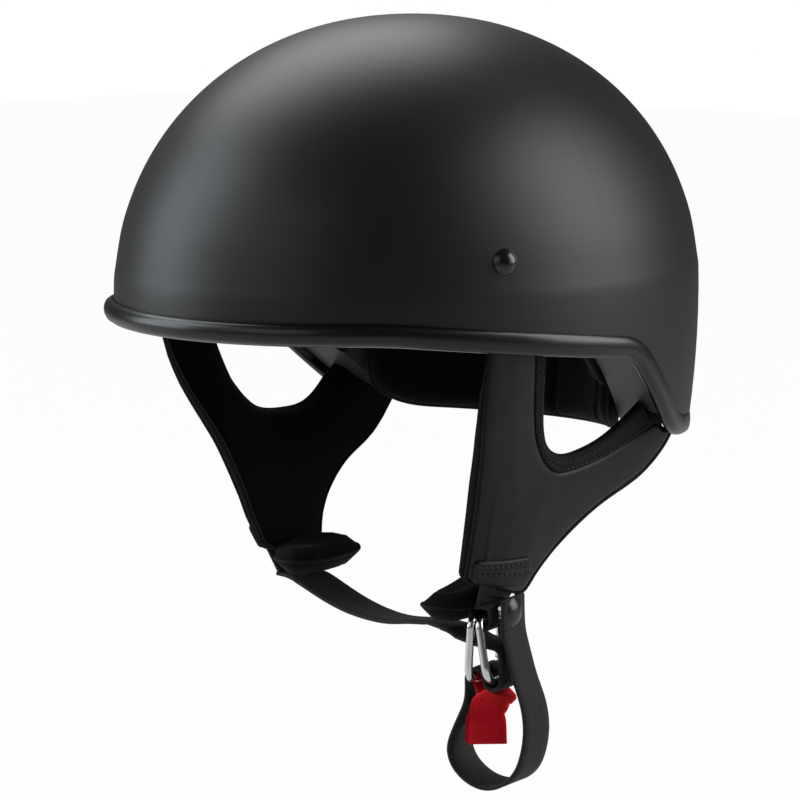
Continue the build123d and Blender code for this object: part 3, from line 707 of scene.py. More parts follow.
def woven(name, colour, across_pitch, along_pitch, lift, sheen, edge=None):
    """Flat woven tape: herringbone ribs in the piece's own map, with painted shade in the furrows and a denser edge."""
    f = Finish(name)
    across, along = f.pattern()
    zigzag = ((across / (across_pitch * 6)).fraction() - 0.5).size() * 2.0
    rib = ((along / along_pitch + zigzag * 1.5) * (2 * math.pi)).sine() * 0.5 + 0.5
    pick = ((across / across_pitch) * (2 * math.pi)).sine() * 0.5 + 0.5
    fuzz = f.grain(2600, 3)
    height = rib * 0.6 + pick * 0.25 + fuzz * 0.25
    # Painted shade: the tone darkens where the ribs' height is low and lightens on the rib tops; depth sets how strong
    # it is.
    depth = 0.25 if edge else 0.55
    tone = f.mix(height, shade(colour, 1 - depth), shade(colour, 1 + 0.7 * depth))
    if edge:
        near = 1.0 - (f.seam_gap() / 0.0014).clipped()
        tone = f.mix(near * 0.85, tone, edge)
    wash = f.grain(70, 2)
    tone = f.mix(wash * 0.5, tone, shade(colour, 1.25))
    relief = f.bump(height, lift, 0.0003)
    fixed = {"sheen_weight": sheen, "sheen_roughness": 0.4, "specular_ior_level": 0.25}
    return f.done(tone, 0.66 + fuzz * 0.2, relief, **fixed)


def knitted(name, colour):
    """Brushed knit over soft foam: small loops, pile and faint blotches."""
    f = Finish(name)
    across, along = f.pattern()
    loops = ((across * 900.0).sine() * (along * 900.0 * 1.25).sine()) * 0.5 + 0.5
    pile = f.grain(1500, 4)
    blotch = f.grain(45, 3)
    height = loops * 0.5 + pile * 0.6
    tone = f.mix(blotch, shade(colour, 0.7), shade(colour, 1.4))
    tone = f.mix(loops * 0.4, tone, shade(colour, 0.5))
    relief = f.bump(height, 0.5, 0.0003)
    fixed = {"sheen_weight": 0.03, "sheen_roughness": 0.5, "specular_ior_level": 0.15}
    return f.done(tone, 0.86 + pile * 0.1, relief, **fixed)


def flap_leather(name, colour):
    """Satin coated cloth with a fine pebbled grain, rubbed lighter at its edges."""
    f = Finish(name)
    pebbles = f.cells(1500, "DISTANCE_TO_EDGE")
    creases = f.cells(520, "DISTANCE_TO_EDGE")
    broad = f.grain(38, 3)
    height = pebbles * 0.7 + creases * 0.35 + f.grain(2400, 2) * 0.15
    tone = f.mix(broad, shade(colour, 0.72), shade(colour, 1.3))
    rub = (1.0 - (f.seam_gap() / 0.0035).clipped()) * (f.grain(160, 3) * 0.6 + 0.25)
    tone = f.mix(rub, tone, shade(colour, 2.4))
    folds = f.bump(f.grain(85, 2), 0.25, 0.0012)
    rough = 0.44 + broad * 0.10 - rub * 0.08
    return f.done(tone, rough, f.bump(height, 0.22, 0.0002, folds), specular_ior_level=0.28)


def plain_metal(name, colour, roughness, scratch):
    """Plated or bare steel with fine rub marks."""
    f = Finish(name)
    rub = f.grain(700, 4)
    tone = f.mix(f.grain(120, 2), shade(colour, 0.9), colour)
    return f.done(tone, roughness + rub * scratch, f.bump(rub, 0.05, 0.0001), metallic=1.0)


def lacquer(name, colour, roughness, coat):
    """Glossy black lacquer."""
    f = Finish(name)
    dust = f.grain(1400, 3)
    tone = f.mix(dust, colour, shade(colour, 1.6))
    waves = f.bump(f.grain(260, 2), 0.04, 0.0003)
    return f.done(tone, roughness + dust * 0.08, waves, coat_weight=coat, coat_roughness=0.12)


def sewing_thread(name, colour):
    """Bonded thread."""
    f = Finish(name)
    twist = f.grain(3200, 2)
    tone = f.mix(twist, shade(colour, 0.6), shade(colour, 1.3))
    return f.done(tone, 0.5 + twist * 0.15, f.bump(twist, 0.2, 0.0001))


def loop_tape(colour):
    """The fuzzy face of hook and loop tape."""
    f = Finish("hook and loop tape")
    fuzz = f.cells(1900)
    tone = f.mix(fuzz, colour, shade(colour, 0.4))
    return f.done(tone, 0.9 + fuzz * 0.05, f.bump(fuzz, 0.7, 0.0005))


def stitch_tree():
    """Geometry Nodes that lay stitches along every edge line of a mesh."""
    tree = bpy.data.node_groups.new("stitches along a line", "GeometryNodeTree")
    face = tree.interface
    face.new_socket("Geometry", in_out="INPUT", socket_type="NodeSocketGeometry")
    sizes = {"Spacing": 0.0029, "Stitch Length": 0.0021, "Stitch Width": 0.0007}
    for name, value in sizes.items():
        socket = face.new_socket(name, in_out="INPUT", socket_type="NodeSocketFloat")
        socket.default_value = value
    face.new_socket("Thread", in_out="INPUT", socket_type="NodeSocketMaterial")
    face.new_socket("Geometry", in_out="OUTPUT", socket_type="NodeSocketGeometry")
    nodes, links = tree.nodes, tree.links
    enter, leave = nodes.new("NodeGroupInput"), nodes.new("NodeGroupOutput")
    lines = nodes.new("GeometryNodeMeshToCurve")
    spots = nodes.new("GeometryNodeCurveToPoints")
    spots.mode = "LENGTH"
    bead = nodes.new("GeometryNodeMeshUVSphere")
    for name, value in (("Segments", 6), ("Rings", 5), ("Radius", 0.5)):
        bead.inputs[name].default_value = value
    shape = nodes.new("ShaderNodeCombineXYZ")
    sized = nodes.new("GeometryNodeTransform")
    laid = nodes.new("GeometryNodeInstanceOnPoints")
    real = nodes.new("GeometryNodeRealizeInstances")
    even = nodes.new("GeometryNodeSetShadeSmooth")
    dressed = nodes.new("GeometryNodeSetMaterial")
    joins = (
        (enter, "Geometry", lines, "Mesh"), (lines, "Curve", spots, "Curve"), (enter, "Spacing", spots, "Length"),
        (enter, "Stitch Width", shape, "X"), (enter, "Stitch Width", shape, "Y"), (enter, "Stitch Length", shape, "Z"),
        (bead, "Mesh", sized, "Geometry"), (shape, "Vector", sized, "Scale"), (spots, "Points", laid, "Points"),
        (sized, "Geometry", laid, "Instance"), (spots, "Rotation", laid, "Rotation"),
        (laid, "Instances", real, "Geometry"), (real, "Geometry", even, "Geometry"),
        (even, "Geometry", dressed, "Geometry"), (enter, "Thread", dressed, "Material"),
        (dressed, "Geometry", leave, "Geometry"),
    )
    for giver, output, taker, entry in joins:
        links.new(giver.outputs[output], taker.inputs[entry])
    return tree


def sew(name, lines, finish, side="left", spacing=2.9, length=2.1, width=0.7):
    """Rows of stitches along lines in millimetres, as one plain mesh."""
    points, edges = [], []
    for line in lines:
        line = np.asarray(line, float) * MM
        if side == "right":
            line = line * (-1, 1, 1)
        start = len(points)
        points += [tuple(p) for p in line]
        edges += [(start + i, start + i + 1) for i in range(len(line) - 1)]
    mesh = bpy.data.meshes.new(name)
    mesh.from_pydata(points, edges, [])
    guide = placed(name + "_line", mesh)
    tree = bpy.data.node_groups.get("stitches along a line") or stitch_tree()
    rows = guide.modifiers.new("stitches", "NODES")
    rows.node_group = tree
    inputs = {s.name: s.identifier for s in tree.interface.items_tree if s.in_out == "INPUT"}
    rows[inputs["Spacing"]] = spacing * MM
    rows[inputs["Stitch Length"]] = length * MM
    rows[inputs["Stitch Width"]] = width * MM
    rows[inputs["Thread"]] = finish
    bpy.context.view_layer.update()
    sewn = bpy.data.meshes.new_from_object(guide.evaluated_get(bpy.context.evaluated_depsgraph_get()))
    bpy.data.objects.remove(guide)
    if not sewn.polygons:
        raise RuntimeError(f"{name}: no stitches were made")
    if finish.name not in [m.name for m in sewn.materials if m]:
        sewn.materials.clear()
        sewn.materials.append(finish)
    piece = placed(name, sewn)
    return piece


def length(label, text, size):
    """A length in millimetres that a user can set."""
    return bpy.props.FloatProperty(name=label, description=text, default=size * MM, unit="LENGTH")


def tint(label, text, *colour):
    """A colour that a user can set."""
    return bpy.props.FloatVectorProperty(name=label, description=text, subtype="COLOR", default=colour)


class HelmetSizes(bpy.types.PropertyGroup):
    """Sizes of the soft pieces that a user would change."""

    trim_proud: length("Trim bead", "How far the edge trim stands off the shell", 1.9)
    pad_crown: length("Pad crown", "Extra swell in the middle of a comfort pad", 1.4)
    flap_swell: length("Flap swell", "How full the ear flaps' outer panels are", 0.7)
    piping_radius: length("Piping radius", "Radius of the piping round the flaps", 0.8)
    strap_width: length("Strap width", "Width of the chin webbing", 20)
    strap_thickness: length("Strap thickness", "Thickness of the chin webbing", 1.8)
    stitch_spacing: length("Stitch spacing", "Distance from stitch to stitch", 2.9)
    tab_width: length("Pull tab width", "Width of the red pull tab", 18)


class HelmetColours(bpy.types.PropertyGroup):
    """Colours of the helmet's finishes."""

    shell: tint("Shell", "Matt shell paint", 0.0038, 0.0041, 0.0043)
    trim: tint("Trim", "Rubber edge trim", 0.0025, 0.0025, 0.0025)
    liner: tint("Liner", "Impact liner foam", 0.045, 0.046, 0.048)
    comfort: tint("Comfort fabric", "Brushed fabric of pads and linings", 0.0030, 0.0030, 0.0034)
    leather: tint("Flap leather", "Coated cloth of the ear flaps", 0.0075, 0.0070, 0.0060)
    webbing: tint("Webbing", "Woven straps", 0.024, 0.024, 0.022)
    binding: tint("Binding", "Tape round the ear holes", 0.0020, 0.0020, 0.0020)
    ring: tint("Rings", "Plated steel of rings and snap", 0.80, 0.80, 0.81)
    pull_tab: tint("Pull tab", "Red ribbon", 0.80, 0.006, 0.018)
    floor: tint("Floor", "Pale studio floor", 0.55, 0.55, 0.55)


def shared(name, maker, colour, *values):
    """A finish that is made once and then shared."""
    return bpy.data.materials.get(name) or maker(name, tuple(colour), *values)


def leather_finish(colours):
    return shared("flap leather", flap_leather, colours.leather)


def comfort_finish(colours):
    return shared("comfort fabric", knitted, colours.comfort)


def binding_finish(colours):
    return shared("binding tape", woven, colours.binding, 0.0009, 0.0012, 0.5, 0.03)


def webbing_finish(colours):
    return shared("strap webbing", woven, colours.webbing, 0.0011, 0.0019, 0.55, 0.05)


def thread_finish():
    return shared("sewing thread", sewing_thread, (0.016, 0.016, 0.016))


def dress(nodes, finish):
    """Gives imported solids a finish."""
    for name in nodes:
        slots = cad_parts[name].data.materials
        slots.clear()
        slots.append(finish)


class HELMET_OT_hard_parts(bpy.types.Operator):
    """Finishes the shell, the liner, the rivets, the rings and the snap"""

    bl_idname = "helmet.hard_parts"
    bl_label = "Finish hard parts"

    def execute(self, context):
        colours = context.scene.helmet_colours
        dress(["outer_shell"], matt_shell_paint(tuple(colours.shell)))
        dress(["impact_liner"], liner_foam(tuple(colours.liner)))
        black = (0.004, 0.004, 0.004)
        dress(["front_rivets", "rear_rivets"], lacquer("rivet lacquer", black, 0.24, 0.3))
        dress(["front_washers", "rear_washers"], plain_metal("washer steel", (0.55, 0.55, 0.56), 0.32, 0.06))
        plated = plain_metal("ring steel", tuple(colours.ring), 0.12, 0.05)
        dress(["outer_ring", "inner_ring", "snap_stud", "snap_socket"], plated)
        dress(["snap_cap"], lacquer("snap lacquer", black, 0.30, 0.2))
        dress(["hook_dots"], loop_tape((0.02, 0.02, 0.02)))
        return {"FINISHED"}


def trim_form(proud):
    """The rubber bead, swept round the shell's edge."""
    bearings = np.linspace(0, 2 * math.pi, 481)[:-1]
    level = np.zeros_like(bearings)
    for _ in range(30):
        level = 0.5 * level + 0.5 * rim_level(dome_spot(SHELL, bearings, level)[:, 1])
    rim = dome_spot(SHELL, bearings, level)
    run = unit(np.roll(rim, -1, 0) - np.roll(rim, 1, 0))
    reach = np.where(np.sin(bearings) > 0, SHELL[2], SHELL[1])
    outward = np.stack([np.cos(bearings) / SHELL[0], np.sin(bearings) / reach, np.zeros_like(bearings)], axis=1)
    outward = unit(outward - (outward * run).sum(1)[:, None] * run)
    rise = np.cross(run, -outward)
    rise *= np.sign(rise[:, 2:3])
    brow = np.clip((-np.sin(bearings) - 0.35) / 0.5, 0, 1)
    nape = np.clip((np.sin(bearings) - 0.45) / 0.3, 0, 1)
    proud = (proud * (1 - 0.4 * nape) + BROW_EXTRA * brow * brow * (3 - 2 * brow))[:, None]
    bead = [(share * proud, lift) for share, lift in TRIM_BEAD]
    rows = [rim + outward * out + rise * lift for out, lift in (TRIM_LIP, *bead, *TRIM_CHANNEL)]
    mesh = np.stack(rows, axis=1)
    n, m = mesh.shape[:2]
    far = np.arange(n) * length_of(rim) / n
    return mesh.reshape(-1, 3), swept(mesh, True), unrolled(np.arange(m) * 1.0, far), np.full(n * m, 5.0)


class HELMET_OT_edge_trim(bpy.types.Operator):
    """Builds the rubber bead that clips over the shell's edge"""

    bl_idname = "helmet.edge_trim"
    bl_label = "Build edge trim"

    def execute(self, context):
        sizes, colours = context.scene.helmet_sizes, context.scene.helmet_colours
        rubber = rubber_trim(tuple(colours.trim))
        bead = make_piece("trim_bead", trim_form(sizes.trim_proud / MM), rubber)
        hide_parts("edge_trim")
        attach(bead, "helmet")
        return {"FINISHED"}


def softened(corners, radius, step=1.4):
    """A flat loop through corners, each rounded by the radius."""
    corners = [np.asarray(c, float) for c in corners]
    middle = (corners[0] + corners[-1]) / 2
    route = rounded([middle, *corners, middle], [radius] * len(corners), step)[:-1]
    return evenly(np.vstack([route, route[:1]]), max(24, int(length_of(route) / step)))[:-1]


def band_place(flat, depth):
    """Places in the cavity from (arc, level) and a depth toward the head."""
    depth = np.asarray(depth, float)
    sizes = CAVITY - depth[:, None]
    return dome_spot(sizes, flat[:, 0] / ARC, flat[:, 1])


def crown_place(flat, depth):
    """Places under the crown from (across, along) and a depth toward the head."""
    return dome_over(CAVITY - np.asarray(depth, float)[:, None], flat[:, 0], flat[:, 1])


def pad_top(crown, channels, seed):
    """Depth of a pad's face: crowned, rolled at its edge and pulled in along sewn channels."""

    def depth(flat, gap):
        swell = 8.4 + crown * (1 - np.exp(-gap / 14)) - 5.6 * rolled(gap, 6.5)
        for line in channels:
            swell -= 2.6 * np.exp(-((gap_to(flat, line) / 1.9) ** 2))
        return swell + 0.45 * ripple(flat, 17.0, seed) + 0.18 * ripple(flat, 6.0, seed + 3)

    return depth


def sew_pad(node, outline, depth, place, fabric, tape):
    """One crowned pad that stands for a node, with the tape round its border."""
    form = slab(outline, depth, pad_back, place, spacing=2.6, rings=PAD_RINGS)
    pad = make_piece(node.replace("_pad", "_cushion"), form, fabric)
    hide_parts(node)
    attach(pad, "helmet")
    border = tube(place(outline, np.full(len(outline), 2.3)), 1.25, closed=True)
    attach(make_piece(node.replace("_pad", "_binding"), border, tape), "helmet")


def pad_back(flat, gap):
    """Depth of a pad's back, rolled in at its edge."""
    return 1.1 + 1.0 * rolled(gap, 2.5)


def band_outline(first, last, hang, top):
    """Outline of a band pad between two bearings in degrees, from below the rim to its top."""
    arc = np.linspace(math.radians(first) * ARC, math.radians(last) * ARC, 40)
    along = dome_spot(CAVITY - 5, arc / ARC, np.full(40, 0.0))[:, 1]
    low = rim_level(along) - hang
    return np.array([*zip(arc, low), (arc[-1], top), (arc[0], top)])


def crown_outline():
    """Outline of the crown pad: a round with a bite between each two of its four lobes."""
    ring = np.radians(np.arange(0, 360, 2.0))
    reach = np.full(len(ring), CROWN_RADIUS)
    for lobe in np.radians((45, 135, 225, 315)):
        facing = np.cos(ring - lobe)
        root = np.sqrt(np.clip(BITE_RADIUS**2 - (BITE_DISTANCE * np.sin(ring - lobe)) ** 2, 0, None))
        bite = np.where((facing > 0) & (root > 0), BITE_DISTANCE * facing - root, 1e3)
        reach = np.minimum(reach, bite)
    outline = np.stack([reach * np.cos(ring), reach * np.sin(ring)], axis=1)
    return eased_loop(evenly(np.vstack([outline, outline[:1]]), 260)[:-1], 10)


class HELMET_OT_comfort_pads(bpy.types.Operator):
    """Sews the brow, neck, side and crown pads"""

    bl_idname = "helmet.comfort_pads"
    bl_label = "Sew comfort pads"

    def execute(self, context):
        sizes, colours = context.scene.helmet_sizes, context.scene.helmet_colours
        fabric, tape, thread = comfort_finish(colours), binding_finish(colours), thread_finish()
        crown = sizes.pad_crown / MM
        for seed, (node, (first, last, hang, top, seams)) in enumerate(BAND_PADS.items()):
            raw = band_outline(first, last, hang, top)
            outline = evenly(np.vstack([raw, raw[:1]]), int(length_of(raw) / 1.6))[:-1]
            outline = np.roll(eased_loop(outline, 14), 3, axis=0)
            channels = []
            for seam in seams:
                arc = math.radians(seam) * ARC
                low = rim_level(dome_spot(CAVITY, seam * math.pi / 180, 0)[1]) - hang
                channels.append([(arc, low), (arc, top)])
            depth = pad_top(crown, channels, seed + 1.5)
            sew_pad(node, outline, depth, band_place, fabric, tape)
            if channels:
                rows = [evenly(line, 30) for line in channels]
                rows = [band_place(row, depth(row, gap_to(row, outline, True)) + 0.1)[3:-3] for row in rows]
                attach(sew(node.replace("_pad", "_seams"), rows, thread), "helmet")
        sew_pad("crown_pad", crown_outline(), pad_top(crown, CROWN_SEAMS, 8.5), crown_place, fabric, tape)
        return {"FINISHED"}


FRONT_LINE = smooth_through(FRONT_EDGE, 90)
REAR_LINE = smooth_through(REAR_EDGE, 90)
HOLE_LINE = smooth_through(HOLE_EDGE, 110)
SEAM_LINE = smooth_through(SEAM_EDGE, 120)
FOOT_LINE = rounded([FRONT_LINE[-4], FRONT_LINE[-1], REAR_LINE[0], REAR_LINE[3]], (4.5, 4.5), 0.8)
OUTER_LINE = evenly(np.vstack([FRONT_LINE[:-4], FOOT_LINE, REAR_LINE[4:]]), 230)


def front_bevel(flat):
    """How far the outer panel drops towards its front edge."""
    return 2.2 * np.clip(1 - gap_to(flat, FRONT_LINE) / 18, 0, 1) ** 1.6


def panel_edge_height(flat):
    """Where the outer panel's edge meets the side wall, off the flap's plane."""
    return flap_face(flat[:, 1]) - 2.0 - front_bevel(flat)


def flap_back(flat):
    """How far the flap's inner side stands off its plane: the pad thins out towards the ear hole."""
    thin = np.clip(1 - gap_to(flat, HOLE_LINE) / 15.0, 0, 1) ** 2
    return -2.9 + thin * (flap_face(flat[:, 1]) - 0.6)


def under_rim(line, margin=0.0):
    """The part of a flap line that lies below the place where the flap goes in under the liner."""
    return line[line[:, 1] < flap_top(line[:, 0]) - margin]


def binding_top(flat, gap):
    """Face of the tape round the ear hole."""
    drop = 1.3 * rolled(gap_to(flat, HOLE_LINE), 2.0)
    return flap_face(flat[:, 1]) - 0.5 - drop + 0.12 * ripple(flat, 7.0, 1.5)


def lining_back(flat, gap):
    """Inner side of the flap's lining, drawn in at its sewn edge."""
    sewn = 0.7 * rolled(gap, 2.6) - 0.6 * (1 - np.exp(-gap / 7))
    return flap_back(flat) + sewn + 0.2 * ripple(flat, 15.0, 7.5)


def tongue_place(flat, out):
    """Places on the padded tongue behind the ear, from (outward, along) and a height off its level."""
    return np.stack([flat[:, 0], flat[:, 1], np.interp(flat[:, 1], *TONGUE_LEVEL) + out], axis=1)


def tongue_top(flat, gap):
    """Top of the tongue, with the seat where it meets the flap."""
    seat = 5.0 * np.clip((flat[:, 0] - 46.0) / 12.4, 0, 1) ** 2
    return 5.9 + seat - 5.2 * rolled(gap, 6.0) + 0.2 * ripple(flat, 9.0, 3.5)


def tongue_under(flat, gap):
    """Underside of the tongue."""
    return -5.7 + 4.9 * rolled(gap, 5.6) + 0.2 * ripple(flat, 9.0, 6.5)


def level_tongue(form):
    """The right tongue lies more level than the left one."""
    points = np.array(form[0])
    ahead = np.clip((7.0 - points[:, 1]) / 30.0, 0, 1)
    points[:, 2] += 1.6 + 7.6 * ahead
    return (points, *form[1:])


class HELMET_OT_ear_flaps(bpy.types.Operator):
    """Sews both padded ear flaps with their linings, walls, bindings, patches and tongues"""

    bl_idname = "helmet.ear_flaps"
    bl_label = "Sew ear flaps"

    def execute(self, context):
        sizes, colours = context.scene.helmet_sizes, context.scene.helmet_colours
        swell, spacing = sizes.flap_swell / MM, sizes.stitch_spacing / MM
        leather, fabric, tape = leather_finish(colours), comfort_finish(colours), binding_finish(colours)
        webbing, thread = webbing_finish(colours), thread_finish()

        def panel_top(flat, gap):
            face = flap_face(flat[:, 1]) + swell * (1 - np.exp(-gap / 9)) - 2.0 * rolled(gap, 2.8)
            face -= front_bevel(flat)
            return face + 0.28 * ripple(flat, 23.0, 2.5) + 0.10 * ripple(flat, 8.0, 5.5)

        def patch_top(flat, gap):
            base = flap_face(flat[:, 1]) + swell * 0.8 - front_bevel(flat)
            rise = 1.35 - 1.4 * rolled(gap, 1.2)
            for line in PATCH_ROWS:
                rise -= 0.9 * np.exp(-((gap_to(flat, line) / 0.95) ** 2))
            return base + rise

        panel_loop = np.vstack([OUTER_LINE, SEAM_LINE[::-1]])
        lining_loop = np.vstack([OUTER_LINE, HOLE_LINE[::-1]])
        patch_loop = softened(PATCH_EDGE, 2.2)
        panel = slab(panel_loop, panel_top, lambda p, g: flap_back(p) + 1.3, flap_spot, ceiling=flap_top)
        tape_loop = np.vstack([HOLE_LINE, SEAM_LINE[::-1]])[::-1]
        tape_back = lambda p, g: flap_face(p[:, 1]) - 2.5
        binding = slab(tape_loop, binding_top, tape_back, flap_spot, 2.0, flap_top, (0.5, 1.2, 2.0))
        lining = slab(lining_loop, lambda p, g: flap_back(p) + 1.1, lining_back, flap_spot, 2.6, flap_top)
        patch_rings = (0.3, 0.7, 1.2)
        patch = slab(patch_loop, patch_top, lambda p, g: flap_face(p[:, 1]) - 0.6, flap_spot, 1.0, None, patch_rings)
        outer = under_rim(OUTER_LINE)
        hole = under_rim(HOLE_LINE)
        wall = strip(outer, flap_back(outer) + 0.2, panel_edge_height(outer) + 0.3, 1.0, 0.9)
        hole_wall = strip(hole[::-1], flap_back(hole[::-1]) + 0.2, flap_face(hole[::-1, 1]) - 1.9, 0.35, 0.8)
        aside = -beside(outer)
        shifted = outer + aside * 0.25
        cord = sizes.piping_radius / MM
        piping = tube(flap_spot(shifted, panel_edge_height(outer) + 0.35), cord)
        rear = outer[:, 0] > 0.0
        rear_piping = tube(flap_spot((outer + aside * 0.9)[rear], panel_edge_height(outer)[rear] + 0.3), 1.7 * cord)
        back_piping = tube(flap_spot(shifted, np.full(len(outer), -2.5)), 0.7 * cord)
        tongue_loop = eased_loop(softened(TONGUE_EDGE, 6.5), 26)
        tongue = slab(tongue_loop, tongue_top, tongue_under, tongue_place, 1.6, None, (0.4, 1.1, 2.2, 3.6))
        tongue_edge = tube(tongue_place(tongue_loop, np.full(len(tongue_loop), 0.4)), 0.75, closed=True)
        front_leg = flap_leg([(-42, 130), (-14.5, 18), (-12, 6.5)], 3.0)
        rear_leg = flap_leg([(66, 83), (24, 61), (-8, 24), (-12, 9)], 14.0)
        row = under_rim(SEAM_LINE + beside(SEAM_LINE) * 1.5, 3.0)
        binding_row = flap_spot(row, binding_top(row, np.full(len(row), 2.0)) + 0.12)
        lip = under_rim(HOLE_LINE - beside(HOLE_LINE) * 2.6, 3.0)
        hole_row = flap_spot(lip, binding_top(lip, np.full(len(lip), 2.6)) + 0.1)
        patch_lines = []
        for line in PATCH_ROWS:
            spots = evenly(line, 20)
            patch_lines.append(flap_spot(spots, patch_top(spots, np.full(20, 5.0)) + 0.22))
        for side in SIDES:
            body = f"{side}_flap"
            crossing = {
                "ear_panel": (panel, leather, "flap_leather", ("flap_panel", "flap_foam")),
                "ear_binding": (binding, tape, "binding_fabric", ("flap_binding",)),
                "ear_wall": (joined(wall, hole_wall), fabric, "binding_fabric", ("flap_gusset",)),
                "ear_lining": (lining, fabric, "lining_fabric", ("flap_lining",)),
                "ear_webbing": (joined(front_leg, rear_leg), webbing, "strap_webbing", ("flap_webbing",)),
                "ear_piping": (joined(piping, rear_piping, back_piping), tape, "binding_fabric", ()),
            }
            hang = hung_loosely if side == "right" else np.array
            for name, (form, finish, slot, nodes) in crossing.items():
                form = (hang(form[0]), *form[1:])
                piece = make_piece(f"{name}_{side}", form, finish, side)
                if nodes:
                    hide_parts(*[f"{node}_{side}" for node in nodes])
                name == "ear_panel"
                bends_at_rim(piece, side)
            lines = [hang(binding_row), hang(hole_row)]
            rows = sew(f"binding_stitches_{side}", lines, thread, side, spacing, 2.0, 0.6)
            bends_at_rim(rows, side)
            sewn_patch = make_piece(f"ear_patch_{side}", (hang(patch[0]), *patch[1:]), leather, side)
            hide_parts(f"flap_patch_{side}")
            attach(sewn_patch, body)
            lines = [hang(line) for line in patch_lines]
            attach(sew(f"patch_stitches_{side}", lines, thread, side, spacing, 2.2, 1.0), body)
            leaf, rim = tongue, tongue_edge
            if side == "right":
                leaf, rim = level_tongue(tongue), level_tongue(tongue_edge)
            cushion = make_piece(f"ear_tongue_{side}", leaf, fabric, side)
            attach(cushion, body)
            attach(make_piece(f"tongue_piping_{side}", rim, tape, side), body)
        return {"FINISHED"}


def flap_leg(route, bend):
    """Webbing under the flap's outer panel, along a route of (along, up the flap)."""
    flat = evenly(rounded(route, [bend * 3] * (len(route) - 2), 1.5), 60)
    run = unit(np.gradient(flat, axis=0))
    across = run[:, 1:2] * ALONG - run[:, 0:1] * RISE
    level = np.clip((flat[:, 1] - 7) / 22, 0, 1)[:, None]
    across = across * level + np.sign(run[:, 1:2]) * ALONG * (1 - level)
    return ribbon(flap_spot(flat, flap_face(flat[:, 1]) - 2.1), across, 20.0, 1.8)


def shell_spot(bearing, level):
    """A place on the shell and its outward direction."""
    lift = max(level - WAIST, 0) / SHELL[3]
    share = (1 - lift**POWER) ** (1 / POWER)
    turn = math.radians(bearing)
    reach = SHELL[2] if bearing > 0 else SHELL[1]
    slope = (lift / share) ** (POWER - 1) / SHELL[3]
    point = np.array((SHELL[0] * share * math.cos(turn), reach * share * math.sin(turn), level))
    return point, unit(np.array((math.cos(turn) / SHELL[0], math.sin(turn) / reach, slope)))


class HELMET_OT_retention_straps(bpy.types.Operator):
    """Runs the webbing from the flaps up to the rivets"""

    bl_idname = "helmet.retention_straps"
    bl_label = "Run retention straps"

    def execute(self, context):
        webbing = webbing_finish(context.scene.helmet_colours)
        for place, foot in (("front", FRONT_HINGE), ("rear", REAR_HINGE)):
            point, outward = shell_spot(*RIVETS[place])
            anchor = point - outward * 5.1
            across = unit(np.cross(outward, anchor - foot))
            rise = np.cross(across, outward)
            route = rounded([foot, anchor - rise * 9.0, anchor + rise * 8.8], [16.0], 1.0)
            route = evenly(route, 50)
            turned = np.linspace(0, 1, 50)[:, None]
            start = unit(np.cross(OUT, route[1] - route[0]))
            form = ribbon(route, start * (1 - turned) + across * turned, 19.6, 1.7)
            for side in SIDES:
                strap = make_piece(f"{place}_webbing_{side}", form, webbing, side)
                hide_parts(f"{place}_strap_{side}")
                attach(strap, "helmet")
        return {"FINISHED"}


def bow_spot(side_sign, swing):
    """Middle of a ring's bow on the buckle plane."""
    turn = math.radians(swing)
    middle = RING_MIDDLE + side_sign * RING_ASIDE
    return middle + BOW_REACH * math.sin(turn), RING_LEVEL - BOW_REACH * math.cos(turn)


